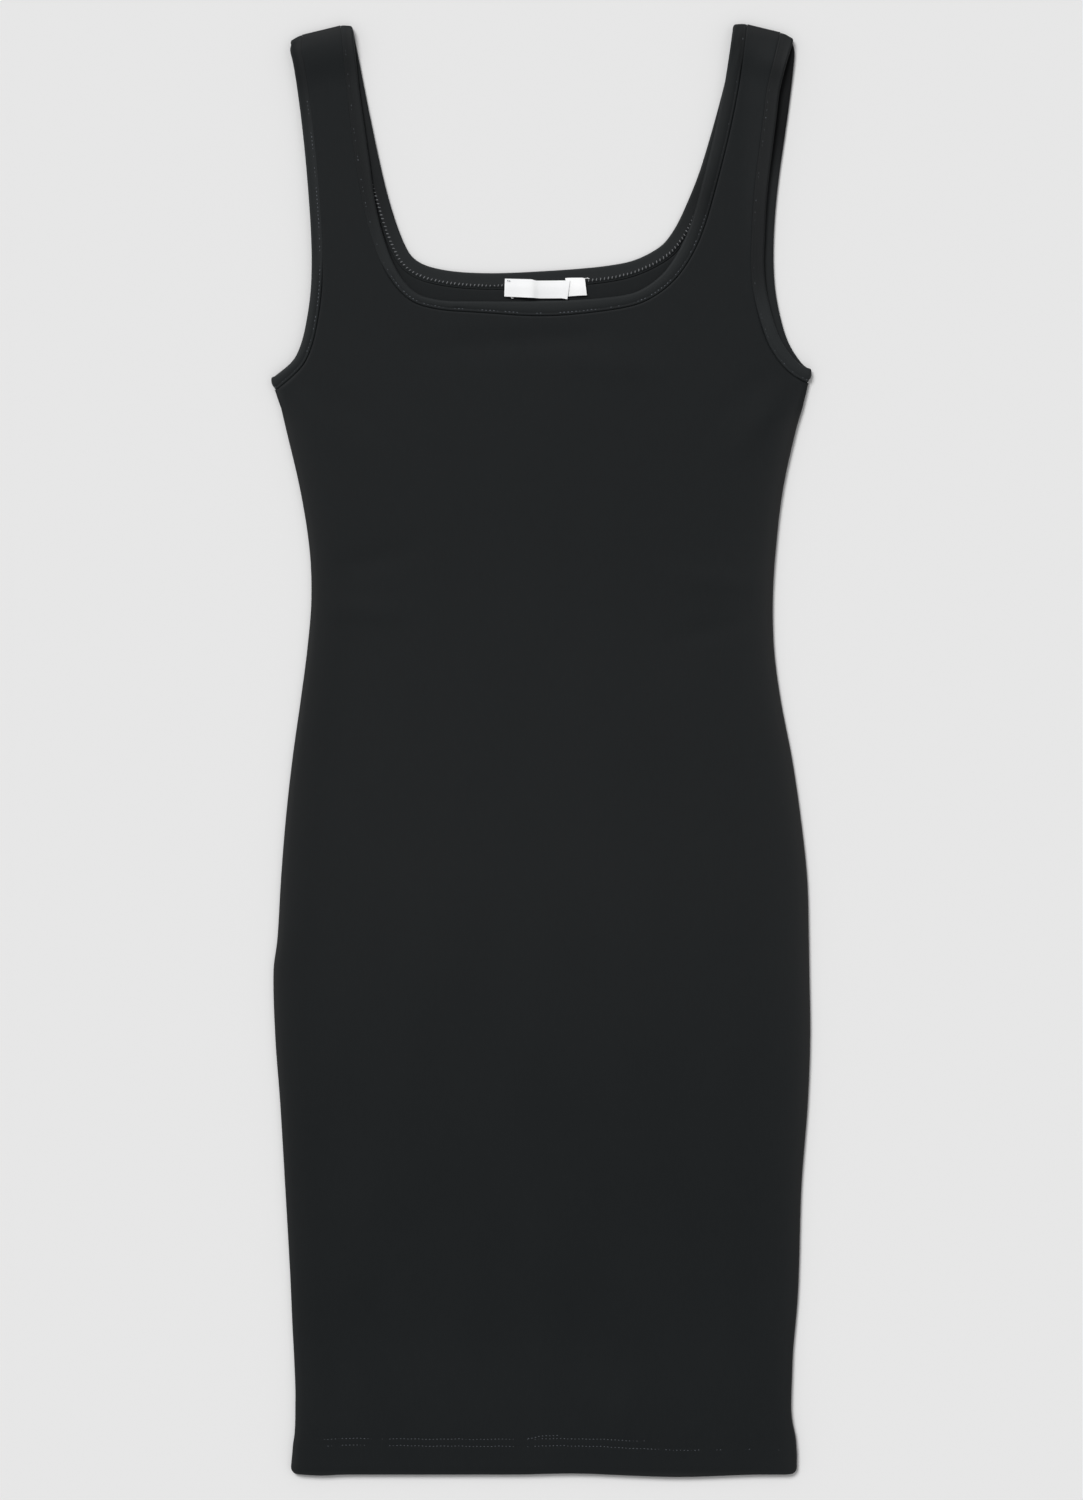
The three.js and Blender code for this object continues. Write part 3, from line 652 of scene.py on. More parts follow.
def linked(name, data):
    """A new object in the scene."""
    made = bpy.data.objects.new(name, data)
    bpy.context.collection.objects.link(made)
    return made


def make_piece(name, points, faces, spread, finish, paleness_and_painted_light=None, crisp=PANEL_CRISP):
    """A mesh object from points in the dress's own sizes, with its cloth spread flat as a UV map.

    The optional share per point tells how far its face is painted paler: painted sheen and highlights, and
    on the bands painted shade where the share is low.
    """
    faces = facing_out(points, faces)
    mesh = bpy.data.meshes.new(name)
    mesh.from_pydata(placed(points).tolist(), [], faces.tolist())
    mesh.update()
    corners = np.zeros(len(mesh.loops), int)
    mesh.loops.foreach_get("vertex_index", corners)
    layer = mesh.uv_layers.new(name="cloth")
    layer.data.foreach_set("uv", (spread[corners] / METRE).ravel())
    if paleness_and_painted_light is not None:
        mesh.attributes.new("paleness_and_painted_light", "FLOAT", "POINT").data.foreach_set("value", np.clip(paleness_and_painted_light, 0, 1))
    mesh.polygons.foreach_set("use_smooth", [True] * len(mesh.polygons))
    mesh.set_sharp_from_angle(angle=math.radians(crisp))
    mesh.materials.append(finish)
    return linked(name, mesh)


def groove_at(plan):
    """How plainly a seam shows as a groove: all round the scoop, and little up the straps."""
    across, up = plan[..., 0], plan[..., 1]
    left_strap = ease(up, *GROOVE_FADES["left_strap"]) * (across < SCOOP_LEFT)
    right_arm = ease(up, *GROOVE_FADES["right_arm"]) * (across > RIGHT_ARM)
    return 1 - left_strap - 0.85 * right_arm


def painted_fold_highlight(across, up):
    """Painted highlight along the shoulder folds, which face the light."""
    return 0.3 * np.exp(-np.maximum(fold_up(across) - up, 0) / 3)


def painted_side_sheen(plan, from_side):
    """Painted sheen along a panel's folded sides and its hem's edge, where the cloth rolls away from the
    eye.
    """
    across, up = plan.T
    # More painted sheen on the right side, whose slopes face away from the light.
    side = np.where(across < 0, 0.66, 1.0) * np.exp(-np.maximum(from_side, 0) / 5)
    side *= lerp(0.45, 1, ease(up, 30, 330)) * (1 - ease(up, 690, 716))
    # Painted sheen along the hem's bottom edge, which rolls under away from the light.
    hem = 0.35 * np.exp(-np.maximum(up, 0) / 2.5)
    return np.interp(up, *PAINTED_BODY_LIGHT.values()) + side + hem + painted_fold_highlight(across, up)


def relief(layer, outer, inner):
    """Creases, the hem's stitched rows and the roll of each edge into its seam, added to a panel.

    It returns how far the panel is painted paler at each point: painted light over the body, painted sheen
    along its sides and hem edge, and painted highlight at the shoulder folds.
    """
    plan = outer[:, :2].copy()
    across, up = plan.T
    seams = [edge.rungs[:, PANEL] for edge in (layer.neck, layer.left, layer.right)]
    from_seam = np.min([distance_to(plan, seam) for seam in seams], axis=0)
    from_side = np.minimum(across - side_at("left", up), side_at("right", up) - across)
    free_from_side = np.where(up < SIDE_TOP, ease(from_side, 2, 24), 1)
    lift = crease_lift(layer.creases, plan) * ease(from_seam, 1, 14) * free_from_side
    lift *= ease(up, 3, 40)
    outer[:, 2] += lift
    inner[:, 2] += lift
    outer[:, 2] += layer.facing * hem_tunnel(plan) * ease(from_side, 0, 4)
    near = np.clip(1 - from_seam / SEAM_ROLL, 0, 1)
    sink = lerp(LEAST_SINK, 1, groove_at(plan)) * SEAM_SINK * (1 - np.sqrt(1 - near ** 2))
    outer[:, 2] -= layer.facing * np.minimum(sink, np.abs(outer[:, 2] - inner[:, 2]) * 0.7)
    if layer.facing < 0:
        inner[:, 2] -= 0.35 * np.clip(1.25 - from_seam / 1.6, 0, 1)
    return painted_side_sheen(plan, from_side)


def panel_piece(name, layer, finish):
    """The whole panel of a layer: its body, and a strap on each side of the neck."""
    body = np.concatenate([hem_and_side_rows(layer), armhole_body_rows(layer)], axis=1)
    straps = [strap_rows(layer, "left"), strap_rows(layer, "right")[:, :, ::-1]]
    cells = len(STRAP_SHARES)
    indices = np.arange(body.shape[1] * body.shape[2]).reshape(body.shape[1:3])
    quads = [grid_quads(indices)]
    used = indices.size
    for rows, root in zip(straps, (indices[-1, :cells], indices[-1, -cells:])):
        own = np.arange(used, used + rows.shape[1] * cells).reshape(rows.shape[1:3])
        used += own.size
        quads.append(grid_quads(np.vstack([root, own])))
    outer, inner = (np.concatenate([part[k].reshape(-1, 3) for part in (body, *straps)]) for k in range(2))
    paleness_and_painted_light = relief(layer, outer, inner)
    points, faces = shell(outer, inner, np.concatenate(quads))
    return make_piece(name, points, faces, points[:, :2], finish, np.tile(paleness_and_painted_light, 2))


def band_section(width, groove, depth, reach, drop):
    """Round a folded band: distance from the free edge, and depth from the inner face.

    Its seam allowance lies at a depth of its own and reaches in under the panel. Its face drops to
    the level of the panel, all over where the seam hardly shows, and else beside the seam.
    """
    half = BAND / 2
    roll = [(half * (1 - math.cos(t)), half * (1 - math.sin(t))) for t in np.radians([0, 25, 50, 75])]
    under = [(half * 1.2, 0), (width * 0.4, 0.04), (width * 0.7, 0.02), (width - 1.1, 0)]
    allowance = [
        (width - 0.4, min(0.12, depth)),
        (width, depth),
        (width + reach, depth),
        (width + reach, depth + 0.35),
        (width + 0.02, depth + 0.4),
        (width, depth + 0.5),
    ]
    sink = lerp(LEAST_SINK, 1, groove)
    face = [
        (width, BAND - 0.9 * sink),
        (width - 0.25, BAND - 0.45 * sink),
        (width - 0.6, BAND - 0.2 * sink),
        (width - 0.95, BAND - 0.11 * sink),
        (width - 1.35, BAND - 0.16 * sink),
        (width - 1.7, BAND - 0.26 * sink),
        (width - 2.05, BAND - 0.15 * sink),
        (width - 2.6, BAND - 0.02),
        (width * 0.6, BAND + 0.06 * groove),
        (width * 0.42, BAND + 0.08 * groove),
        (half * 1.5, BAND + 0.03),
    ]
    face = [(x, y - drop * float(lerp(ease(x, 0, 4), ease(x, width - 5, width), groove))) for x, y in face]
    back = [(x, BAND - y) for x, y in reversed(roll[1:])]
    return np.array(roll + under + allowance + face + back)


# Places round the section: the topstitching on its face, and the chain inside, counted from either end
STITCH_POINT = -9
INNER_POINT = 7

# Depth and reach of a band's seam allowance, and the drop of its face: on the front, and inside the back
SEAM_END = {"front": (0.05, 4.2, 0.6), "back": (0.74, 1.0, 0.0)}

# How far stitches stand above the cloth, and how far they sink where it swallows them
HEM_STITCH_RISE = 0.12
HEM_STITCH_SINK = 0.4
BAND_STITCH_RISE = 0.2
BAND_STITCH_SINK = 0.44
CHAIN_RISE = 0.06
CHAIN_LEFT_SINK = 0.14
CHAIN_STRAP_SINK = 0.3
LOWEST_STITCH = 0.2

# Crossings left free at each end of the chain
CHAIN_INSET = 3

# Edges between which the topstitching fades, by height: along the left armhole, and up from the scoop
TOPSTITCH_FADES = {
    "arm_foot": (736, 750), "arm_top": (894, 874),
    "scoop_left": (796, 782), "scoop_right": (838, 808),
}


def inside_share(rungs):
    """How far a back crossing is from the folds at its ends, from 0 at a fold to 1."""
    steps = np.linalg.norm(np.diff(rungs[:, SEAM], axis=0), axis=1)
    reach = np.append(0, np.cumsum(steps))
    return ease(np.minimum(reach, reach[-1] - reach), 2, 22)


def band_stations(front, back):
    """Crossings all round a ring band, each with its way out, its share of a turn and its place inside."""
    stations = [(rung, None, 0, 1, 0) for rung in front.rungs]
    turns = np.linspace(0, math.pi, FOLD_STEPS + 1)[1:-1]
    stations += [(front.rungs[-1], front.last_out, math.sin(t), math.cos(t), 0) for t in turns]
    shares = inside_share(back.rungs)
    stations += [(rung, None, 0, -1, share) for rung, share in zip(back.rungs[::-1], shares[::-1])]
    stations += [(front.rungs[0], front.first_out, math.sin(t), -math.cos(t), 0) for t in turns]
    return stations


def band_points(front, back, first_bulge=STRAP_CORNER_DROP):
    """Points of a ring band, as stations round the ring by places round its section."""
    rows = []
    ends = (
        (front.rungs[0, FREE], front.first_out, first_bulge),
        (front.rungs[-1, FREE], front.last_out, STRAP_CORNER_DROP),
    )
    for rung, out, turn, level, inside in band_stations(front, back):
        groove = float(groove_at(rung[SEAM]))
        width = np.linalg.norm(rung[SEAM] - rung[FREE])
        closed = width + SEAM_GAP - 0.06 - 0.08 * groove
        seam_end = [lerp(*values, inside) for values in zip(SEAM_END["front"], SEAM_END["back"])]
        inset, depth = band_section(closed, groove, *seam_end).T
        share = inset / width
        plan = lerp(rung[FREE], rung[SEAM], share[:, None])
        for end, end_out, bulge in ends:
            near_fold = 1 - ease(np.linalg.norm(rung[FREE] - end), 0, 9)
            plan = plan + end_out * (bulge * near_fold * share * np.clip(1 - share, 0, 1))[:, None]
        bend = SEAM_GAP / 2 + depth
        if turn > 0:
            plan = plan + out * (bend * turn)[:, None]
        rows.append(np.column_stack([plan, MID_LEVEL + bend * level]))
    return np.array(rows)


def band_paleness_and_painted_light(points):
    """How far a band is painted paler: where it is stretched round a curve, up the right strap's neck side
    near the shoulder, and as painted highlight along its free edge and shoulder folds, with painted shade up
    the right armhole.
    """
    across, up = points[..., 0], points[..., 1]
    neck_side = np.abs(across) < STRAP_MIDDLE
    right_arm = across > STRAP_MIDDLE
    stretched = np.where(neck_side, 1 - ease(up, 800, 850), 1 - 0.85 * ease(up, 880, 925))
    stretched *= np.where(right_arm, 1 - ease(up, 760, 800), 1)
    inset = np.linalg.norm(points - points[:, :1], axis=2)
    # Painted shade: up the right arm's open edge the band is painted less pale, for the shadow of the lifted
    # front strap.
    painted_shade_up_right_arm = right_arm * ease(up, 770, 820)
    # The inside of the back right armhole band is painted on its own: pale low down, and dark as painted
    # shade higher up, under the lifted front strap.
    painted_light_and_shade_inside = right_arm & (points[..., 2] < MID_LEVEL)
    plain = 0.12 * (1 - painted_shade_up_right_arm) + 0.3 * (neck_side & (across > 95)) * ease(up, 840, 880)
    stretched *= np.where(neck_side, 0.62, 0.74)
    paleness_and_painted_light = plain + stretched + lerp(0.4, 0.15, painted_shade_up_right_arm) * np.exp(-inset / 1.6) + painted_fold_highlight(across, up)
    # All else is lifted onto a higher floor, so that the painted shade can go darker than the band's own
    # dark tone.
    return np.where(painted_light_and_shade_inside, 0.68 * (1 - ease(up, 845, 890)), 0.29 + 0.71 * paleness_and_painted_light)


def band_piece(name, points, finish):
    stations, around = points.shape[:2]
    indices = np.arange(stations * around).reshape(stations, around)
    closed = np.pad(indices, ((0, 1), (0, 1)), mode="wrap")
    step_along = np.linalg.norm(np.diff(points[:, 0], axis=0, prepend=points[:1, 0]), axis=1).cumsum()
    step_around = np.linalg.norm(np.diff(points, axis=1, prepend=points[:, :1]), axis=2).cumsum(axis=1)
    spread = np.dstack([np.broadcast_to(step_along[:, None], step_around.shape), step_around])
    return make_piece(
        name, points.reshape(-1, 3), grid_quads(closed), spread.reshape(-1, 2), finish,
        band_paleness_and_painted_light(points).ravel(), BAND_CRISP,
    )


def label_edge(points, shares):
    """Places along an edge of a label, at shares of its length."""
    across, up = np.array(points, float).T
    places = lerp(across[0], across[-1], shares)
    return np.stack([places, np.interp(places, across, up)], axis=1)


def label_piece(name, finish):
    """A ribbon that hangs from the neck band over the back panel."""
    sizes = LABELS[name]
    band_edge = np.min(BACK.neck.rungs[:, SEAM, 1])
    shares = np.linspace(0, 1, LABEL_COLUMNS)
    drops = np.linspace(0, 1, LABEL_ROWS)[:, None, None]
    plan = lerp(label_edge(sizes["top"], shares), label_edge(sizes["bottom"], shares), drops)
    across, up = plan[..., 0], plan[..., 1]
    level = lerp(CLOTH + SEAM_GAP + 0.35, BAND + 0.1, ease(up, band_edge - 8, band_edge + 1))
    lift = smooth_at(*np.array(sizes["lift"], float).T, across)
    level = level + lift * (0.55 + 0.45 * drops[..., 0])
    inner = np.dstack([plan, level]).reshape(-1, 3)
    outer = inner + (0, 0, LABEL_WALL)
    points, faces = shell(outer, inner, grid_quads(np.arange(across.size).reshape(across.shape)))
    return make_piece(name + "_ribbon", points, faces, points[:, :2], finish)


class Wire:
    """A value on a node's socket, with the sums that the trees use."""

    def __init__(self, nodes, socket):
        self.nodes = nodes
        self.socket = socket

    def maths(self, operation, *others):
        inputs = dict(enumerate((self, *others)))
        return self.nodes.node("ShaderNodeMath", {"operation": operation}, inputs)

    def part(self, output):
        """Another output of the node that this value comes from."""
        return Wire(self.nodes, self.socket.node.outputs[output])

    def __add__(self, other):
        return self.maths("ADD", other)

    __radd__ = __add__

    def __sub__(self, other):
        return self.maths("SUBTRACT", other)

    def __mul__(self, other):
        return self.maths("MULTIPLY", other)

    __rmul__ = __mul__

    def __truediv__(self, other):
        return self.maths("DIVIDE", other)


class Nodes:
    """A node tree that is being put together."""

    def __init__(self, tree):
        self.tree = tree

    def node(self, kind, settings=None, inputs=None, output=0):
        """A node of that kind: its settings first, then the values or links of its sockets."""
        node = self.tree.nodes.new(kind)
        for setting, value in (settings or {}).items():
            setattr(node, setting, value)
        self.fill(node, inputs or {})
        return Wire(self, node.outputs[output]) if node.outputs else None

    def fill(self, node, inputs):
        for socket, value in inputs.items():
            if isinstance(value, Wire):
                self.tree.links.new(value.socket, node.inputs[socket])
            else:
                node.inputs[socket].default_value = value


class Finish(Nodes):
    """A material and its surface."""

    def __init__(self, name, **surface):
        self.material = bpy.data.materials.new(name)
        self.material.use_nodes = True
        super().__init__(self.material.node_tree)
        self.feed(**surface)

    def feed(self, **surface):
        """Values or links for the surface's sockets, whose names have spaces for underscores."""
        inputs = {socket.replace("_", " "): value for socket, value in surface.items()}
        self.fill(self.tree.nodes["Principled BSDF"], inputs)

    def cloth_spread(self):
        """The cloth spread flat, in metres."""
        return self.node("ShaderNodeUVMap", {"uv_map": "cloth"})

    def noise(self, across, along, detail=2.0):
        """Uneven cloth, with so many patches to a metre in each direction."""
        size = {0: self.cloth_spread(), 1: (across, along, 1)}
        place = self.node("ShaderNodeVectorMath", {"operation": "MULTIPLY"}, size)
        inputs = {"Vector": place, "Scale": 1.0, "Detail": detail}
        return self.node("ShaderNodeTexNoise", {"noise_dimensions": "2D"}, inputs)

    def mixed(self, share, first, second):
        first, second = (colour if isinstance(colour, Wire) else (*colour, 1) for colour in (first, second))
        return self.node("ShaderNodeMix", {"data_type": "RGBA"}, {0: share, 6: first, 7: second}, output=2)

    def bumped(self, height, distance, strength, **below):
        inputs = {"Height": height, "Distance": distance, "Strength": strength, **below}
        return self.node("ShaderNodeBump", None, inputs)


# Sizes of the weaves, in metres
WALE = 0.00072
COURSE = 0.00062
RIB = 0.0004


def knit_height(finish, wales_along_length):
    """The face of a plain knit: columns of small Vs."""
    spread = finish.node("ShaderNodeSeparateXYZ", None, {0: finish.cloth_spread()})
    first, second = spread, spread.part(1)
    beside, along = (second, first) if wales_along_length else (first, second)
    column = beside / WALE
    row = along / COURSE
    lean = column.maths("PINGPONG", 0.5) * 2
    leg = (column * 2).maths("FRACT") * math.pi
    loops = (row + lean * 0.6) * (2 * math.pi)
    return leg.maths("SINE") * (0.55 + 0.45 * loops.maths("SINE"))


def jersey(name, dark, light, pale, wales_along_length=False):
    """Smooth cotton-and-elastane jersey, uneven from wale to wale, and painted paler by a share stored on
    each piece: painted sheen and highlights, and painted shade on the bands.
    """
    finish = Finish(
        name, Sheen_Weight=0.06, Sheen_Roughness=0.35,
        Sheen_Tint=(0.8, 0.83, 0.85, 1), Specular_IOR_Level=0.15,
    )
    wales = finish.noise(95, 760) if wales_along_length else finish.noise(760, 95)
    cloudy = finish.noise(22, 14, 3.0)
    share = wales * 0.6 + cloudy * 0.4
    # The painted light stored on each piece: painted sheen and highlights, and painted shade on the bands.
    paleness_and_painted_light = finish.node("ShaderNodeAttribute", {"attribute_name": "paleness_and_painted_light"}, output=2)
    uneven_face = finish.bumped(wales, 0.00005, 0.6)
    finish.feed(
        Base_Color=finish.mixed(paleness_and_painted_light, finish.mixed(share, dark, light), pale),
        Roughness=0.56 + (cloudy - 0.5) * 0.1,
        Normal=finish.bumped(knit_height(finish, wales_along_length), 0.00006, 0.55, Normal=uneven_face),
    )
    return finish.material


def thread(name, shade):
    """Twisted sewing thread."""
    finish = Finish(name, Sheen_Weight=0.1, Specular_IOR_Level=0.4, Roughness=0.6)
    place = finish.node("ShaderNodeTexCoord", None, None, output=3)
    twist = finish.node(
        "ShaderNodeTexWave", {"wave_type": "BANDS", "bands_direction": "DIAGONAL"},
        {"Vector": place, "Scale": 900.0, "Distortion": 1.5},
    )
    finish.feed(
        Base_Color=finish.mixed(twist, [0.7 * part for part in shade], shade),
        Normal=finish.bumped(twist, 0.00006, 0.7),
    )
    return finish.material


def satin(name, dark, light):
    """Woven polyester label ribbon, smooth across and finely ribbed along."""
    finish = Finish(name, Specular_IOR_Level=0.5)
    spread = finish.node("ShaderNodeSeparateXYZ", None, {0: finish.cloth_spread()}, output=1)
    ribs = (spread * (2 * math.pi / RIB)).maths("SINE")
    weave = finish.noise(900, 2600)
    finish.feed(
        Base_Color=finish.mixed(weave, dark, light),
        Roughness=0.46 + weave * 0.14,
        Normal=finish.bumped(ribs * 0.5 + weave, 0.00003, 0.6),
    )
    return finish.material


STITCH_SIZES = ("Pitch", "Length", "Width", "Height", "Slant", "Stray")


def stitch_tree():
    """Lays one small stitch after another along a path."""
    tree = bpy.data.node_groups.new("stitch_row", "GeometryNodeTree")
    sizes = dict.fromkeys(STITCH_SIZES, "Float")
    for socket, kind in {"Geometry": "Geometry", **sizes, "Seed": "Int", "Thread": "Material"}.items():
        tree.interface.new_socket(socket, in_out="INPUT", socket_type=f"NodeSocket{kind}")
    tree.interface.new_socket("Geometry", in_out="OUTPUT", socket_type="NodeSocketGeometry")
    add = Nodes(tree).node
    given = add("NodeGroupInput")

    def by_chance(low, high, kind="FLOAT_VECTOR", first=0):
        inputs = {first: low, first + 1: high, "Seed": given.part("Seed")}
        return add("FunctionNodeRandomValue", {"data_type": kind}, inputs, first // 2)

    path = add("GeometryNodeMeshToCurve", None, {"Mesh": given})
    spacing = {"Curve": path, "Length": given.part("Pitch")}
    places = add("GeometryNodeCurveToPoints", {"mode": "LENGTH"}, spacing)
    bead = add("GeometryNodeMeshUVSphere", None, {"Segments": 8, "Rings": 6, "Radius": 0.5})
    sides = map(given.part, ("Length", "Width", "Height"))
    size = add("ShaderNodeCombineXYZ", None, dict(zip("XYZ", sides)))
    uneven_size = by_chance((0.88, 0.85, 0.9), (1.1, 1.15, 1.1))
    scale = add("ShaderNodeVectorMath", {"operation": "MULTIPLY"}, {0: size, 1: uneven_size})
    turn = given.part("Slant") + by_chance(-0.12, 0.12, "FLOAT", 2)
    lean = add("FunctionNodeAxisAngleToRotation", None, {"Axis": (0, 0, 1), "Angle": turn})
    heading = add("FunctionNodeAlignRotationToVector", {"axis": "X"}, {"Vector": places.part("Tangent")})
    turned = {"Rotation": heading, "Rotate By": lean}
    aimed = add("FunctionNodeRotateRotation", {"rotation_space": "LOCAL"}, turned)
    scaled = {"operation": "SCALE"}
    stray = add("ShaderNodeVectorMath", scaled, {0: (1, 1, 0.25), "Scale": given.part("Stray")})
    back = add("ShaderNodeVectorMath", scaled, {0: stray, "Scale": -1.0})
    moved = add("GeometryNodeSetPosition", None, {"Geometry": places, "Offset": by_chance(back, stray)})
    laid = add("GeometryNodeInstanceOnPoints", None, {
        "Points": moved, "Instance": bead, "Rotation": aimed, "Scale": scale,
    })
    for kind, inputs in (
        ("GeometryNodeRealizeInstances", {}),
        ("GeometryNodeSetShadeSmooth", {}),
        ("GeometryNodeSetMaterial", {"Material": given.part("Thread")}),
        ("NodeGroupOutput", {}),
    ):
        laid = add(kind, None, {"Geometry": laid, **inputs})
    return tree


def stitches(name, paths, finish, **sizes):
    """A plain mesh of stitches along the paths, by the stitch tree."""
    points = np.concatenate(paths)
    ends = np.cumsum([len(path) for path in paths])
    edges = [(k, k + 1) for k in range(len(points) - 1) if k + 1 not in ends]
    mesh = bpy.data.meshes.new(name)
    mesh.from_pydata(placed(points).tolist(), edges, [])
    sewn = linked(name, mesh)
    modifier = sewn.modifiers.new("stitches", "NODES")
    modifier.node_group = STITCHES
    given = {"Thread": finish, "Seed": sizes.pop("Seed"), "Slant": math.radians(sizes.pop("Slant", 0.0))}
    given.update({size: value / METRE for size, value in sizes.items()})
    for socket in STITCHES.interface.items_tree:
        if socket.in_out == "INPUT" and socket.name in given:
            modifier[socket.identifier] = given[socket.name]
    bpy.context.view_layer.update()
    made = bpy.data.meshes.new_from_object(sewn.evaluated_get(bpy.context.evaluated_depsgraph_get()))
    sewn.modifiers.remove(modifier)
    sewn.data = made
    made.name = name
    return sewn


def uneven(count):
    """How far each of a row of stitches sinks or stands out by chance."""
    return np.random.default_rng(count).uniform(-0.11, 0.09, count)


def band_showing(path):
    """How plainly the topstitching shows: on the front only up the left armhole and round the scoop."""
    across, up, level = path.T
    fades = {place: ease(up, *heights) for place, heights in TOPSTITCH_FADES.items()}
    left_arm = (across < -STRAP_MIDDLE) * fades["arm_foot"] * fades["arm_top"]
    scoop = np.where(across < 0, fades["scoop_left"], fades["scoop_right"]) * (np.abs(across) < STRAP_MIDDLE)
    return np.where(level > MID_LEVEL, 0.1 + 0.9 * np.maximum(left_arm, scoop), 0.8)


def hem_path(layer, across, up, showing):
    """A stitched row on the face of a layer's hem, sunk where the cloth swallows it."""
    plan = np.stack([across, up + 0.14 * np.sin(across * 0.19) + 0.1 * np.sin(across * 0.47 + 2)], axis=1)
    top = HEM_TOP if layer.facing > 0 else 0
    rise = hem_tunnel(plan) + HEM_STITCH_RISE - HEM_STITCH_SINK * (1 - showing) + uneven(len(across))
    level = top + layer.facing * rise
    plan[:, 1] -= hem_dip(across, plan[:, 1])
    return np.column_stack([plan, np.maximum(level, LOWEST_STITCH)])


def hem_paths(layer):
    """The hem's two stitched rows, and on the front the short overlap where they begin and end."""
    across = np.linspace(*HEM_ROW_ENDS, 240)
    paths = [
        hem_path(layer, across, hem_value(HEM_STITCHING, row, across), hem_value(HEM_SHOWING, row, across))
        for row in HEM_ROWS
    ]
    if layer.facing > 0:
        across = np.linspace(*OVERLAP_ENDS, 12)
        paths.append(hem_path(layer, across, 24.2 + 1.3 * ease(across, -9, 2), 0.85 + 0 * across))
    return paths


def band_path(points):
    """The topstitching round a band, sunk here and there."""
    path = points[:, STITCH_POINT]
    path = np.vstack([path, path[:1]])
    along = np.append(0, np.cumsum(np.linalg.norm(np.diff(path, axis=0), axis=1)))
    places = np.arange(0, along[-1], 1.1)
    path = np.stack([np.interp(places, along, part) for part in path.T], axis=1)
    waves = np.sin(places * 0.11) + np.sin(places * 0.37 + 1.3) + 0.8 * np.sin(places * 0.83 + 0.4)
    showing = ease(waves, -1.0, 1.2) * band_showing(path)
    rise = BAND_STITCH_RISE - BAND_STITCH_SINK * (1 - showing) + uneven(len(path))
    path[:, 2] += np.sign(path[:, 2] - MID_LEVEL) * rise
    path[:, 2] = np.maximum(path[:, 2], LOWEST_STITCH)
    return path


def chain_path(points):
    """The looper chain inside the back neck, which sinks to the left, and more up the left strap."""
    first = len(FRONT.neck.rungs) + FOLD_STEPS - 1 + CHAIN_INSET
    last = first + len(BACK.neck.rungs) - 2 * CHAIN_INSET
    path = points[first:last, INNER_POINT] + (0, 0, CHAIN_RISE)
    across, up, _ = path.T
    path[:, 2] -= CHAIN_LEFT_SINK * (1 - ease(across, -60, 20))
    path[:, 2] -= CHAIN_STRAP_SINK * ease(up, 835, 870) * (across < 0)
    return path


# The two layers of the dress
FRONT = make_layer("front", 1, FRONT_NECK, FRONT_CREASES)
BACK = make_layer("back", -1, BACK_NECK, BACK_CREASES)
STITCHES = stitch_tree()

# Each jersey's last colour is the pale end of its painted sheen and highlights.
black_jersey = jersey(
    "black_jersey", (0.0046, 0.0061, 0.0070), (0.0072, 0.0089, 0.0098), (0.0215, 0.0218, 0.0220),
)
# The band jersey's own tones are darker than the panels', so that its painted shade can sink below the rest;
# elsewhere it is painted paler.
band_jersey = jersey(
    "black_band_jersey", (0.0010, 0.0014, 0.0018), (0.0030, 0.0036, 0.0042), (0.0155, 0.0178, 0.0188), True,
)
# Both threads are painted paler than black thread is: a painted glint for the light that each stitch
# catches.
black_thread = thread("black_thread", (0.088, 0.098, 0.112))
chain_thread = thread("black_looper_thread", (0.165, 0.171, 0.178))
white_satin = satin("white_satin", (0.88, 0.885, 0.895), (0.94, 0.945, 0.95))
tab_satin = satin("bright_white_satin", (0.965, 0.967, 0.97), (0.985, 0.986, 0.988))

front_panel = panel_piece("front_panel_cloth", FRONT, black_jersey)
back_panel = panel_piece("back_panel_cloth", BACK, black_jersey)
neck_points = band_points(FRONT.neck, BACK.neck)
arm_points = {
    side: band_points(getattr(FRONT, side), getattr(BACK, side), bulge)
    for side, bulge in UNDERARM_BULGE.items()
}
neck_band = band_piece("neck_band_strip", neck_points, band_jersey)
arm_bands = {
    side: band_piece(f"armhole_band_{side}_strip", points, band_jersey)
    for side, points in arm_points.items()
}
neck_label = label_piece("neck_label", white_satin)
size_tab = label_piece("size_tab", tab_satin)

TOPSTITCH = {"Pitch": 2.6, "Length": 1.2, "Width": 0.62, "Height": 0.44, "Stray": 0.1}
COVERSTITCH = {"Pitch": 2.4, "Length": 1.0, "Width": 0.5, "Height": 0.4, "Stray": 0.08}
neck_stitching, left_stitching, right_stitching, front_hem, back_hem = (
    stitches(name, paths, black_thread, Seed=seed, **sizes)
    for name, paths, seed, sizes in (
        ("neck_topstitching", [band_path(neck_points)], 3, TOPSTITCH),
        ("armhole_topstitching_left", [band_path(arm_points["left"])], 5, TOPSTITCH),
        ("armhole_topstitching_right", [band_path(arm_points["right"])], 6, TOPSTITCH),
        ("hem_stitching_front", hem_paths(FRONT), 11, COVERSTITCH),
        ("hem_stitching_back", hem_paths(BACK), 12, COVERSTITCH),
    )
)
band_stitching = [neck_stitching, left_stitching, right_stitching]
chain = stitches(
    "back_neck_looper_chain", [chain_path(neck_points)], chain_thread, Seed=21,
    Pitch=2.6, Length=2.1, Width=0.7, Height=0.56, Slant=70, Stray=0.12,
)
tack = stitches(
    "label_tack", [LABEL_TACK], black_thread, Seed=31,
    Pitch=0.9, Length=0.9, Width=0.7, Height=0.4, Stray=0.0,
)
tails = stitches(
    "label_thread_tails", THREAD_TAILS, tab_satin, Seed=32,
    Pitch=0.55, Length=0.8, Width=0.5, Height=0.4, Stray=0.05,
)

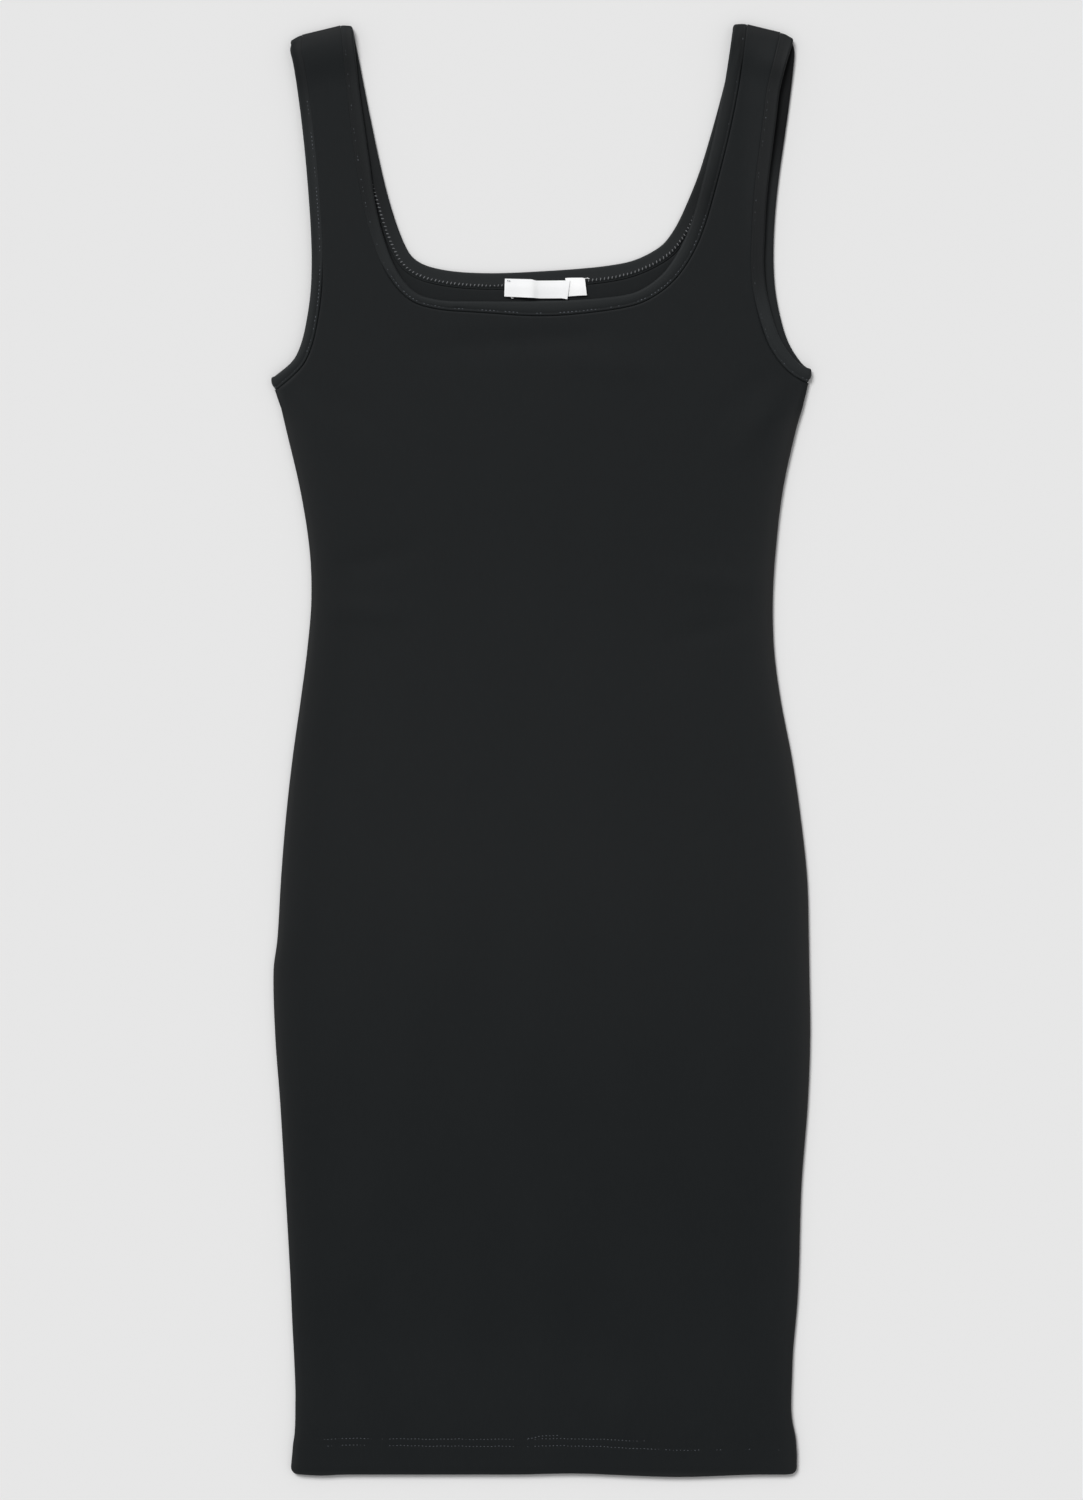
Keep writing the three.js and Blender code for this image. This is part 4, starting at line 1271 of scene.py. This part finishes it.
# What each piece rides on, stands for and is cut from
for piece, node, slot in (
    (front_panel, "front_panel", "jersey"),
    (back_panel, "back_panel", "jersey"),
    (neck_band, "neck_band", "band_jersey"),
    (arm_bands["left"], "armhole_band_left", "band_jersey"),
    (arm_bands["right"], "armhole_band_right", "band_jersey"),
    (neck_label, "neck_label", "label_satin"),
    (size_tab, "size_tab", "label_satin"),
):
    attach(piece, "root")
    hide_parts(node)
for piece in (*band_stitching, front_hem, back_hem, chain, tack):
    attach(piece, "root")
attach(tails, "root")

# The photograph's frame, which looks straight down
IMAGE = (1083, 1500)
PIXEL = 0.66
FRAME_MIDDLE = (-0.33, 478.5)
LENS = 100
SENSOR = 36
camera = bpy.data.cameras.new("camera")
camera.lens = LENS
camera.sensor_width = SENSOR
viewpoint = linked("camera", camera)
height = IMAGE[1] * PIXEL * LENS / SENSOR
viewpoint.location = [
    (FRAME_MIDDLE[0] - ORIGIN[0]) / METRE,
    (FRAME_MIDDLE[1] - ORIGIN[1]) / METRE,
    (height + HEM_TOP) / METRE,
]
bpy.context.scene.camera = viewpoint

# A plain pale floor
FLOOR_LEVEL = -0.0002
FLOOR_CORNERS = [(-6, -6, 0), (6, -6, 0), (6, 6, 0), (-6, 6, 0)]
floor_mesh = bpy.data.meshes.new("floor")
floor_mesh.from_pydata(FLOOR_CORNERS, [], [(0, 1, 2, 3)])
floor_paper = Finish("floor_paper", Roughness=1.0, Specular_IOR_Level=0.0, Base_Color=(0.8, 0.8, 0.8, 1))
floor_mesh.materials.append(floor_paper.material)
floor = linked("floor", floor_mesh)
floor.location.z = FLOOR_LEVEL

# One broad soft light from the upper left, and a studio that is brighter at its sides than overhead
SUN_SHARE = 0.52
SUN_TILT = math.radians(42)
SUN_TURN = math.radians(34)
SUN_SOFTNESS = math.radians(26)
SKY = {"sides": 0.58, "overhead": 0.06}
SKY_FADE = (0.80, 0.99)
sun = bpy.data.lights.new("soft_light", "SUN")
sun.angle = SUN_SOFTNESS
sun.energy = SUN_SHARE * math.pi / math.cos(SUN_TILT)
lamp = linked("soft_light", sun)
lamp.rotation_euler = (-SUN_TILT, 0, SUN_TURN)
world = bpy.data.worlds.new("studio")
world.use_nodes = True
sky = Nodes(world.node_tree)
way = sky.node("ShaderNodeTexCoord")
steepness = sky.node("ShaderNodeSeparateXYZ", None, {0: way}, output=2)
glow = sky.node("ShaderNodeMapRange", {"interpolation_type": "SMOOTHSTEP"}, {
    "Value": steepness, "From Min": SKY_FADE[0], "From Max": SKY_FADE[1],
    "To Min": SKY["sides"], "To Max": SKY["overhead"],
})
sky.fill(world.node_tree.nodes["Background"], {"Color": (1, 1, 1, 1), "Strength": glow})
bpy.context.scene.world = world
bpy.context.scene.view_settings.view_transform = "Standard"
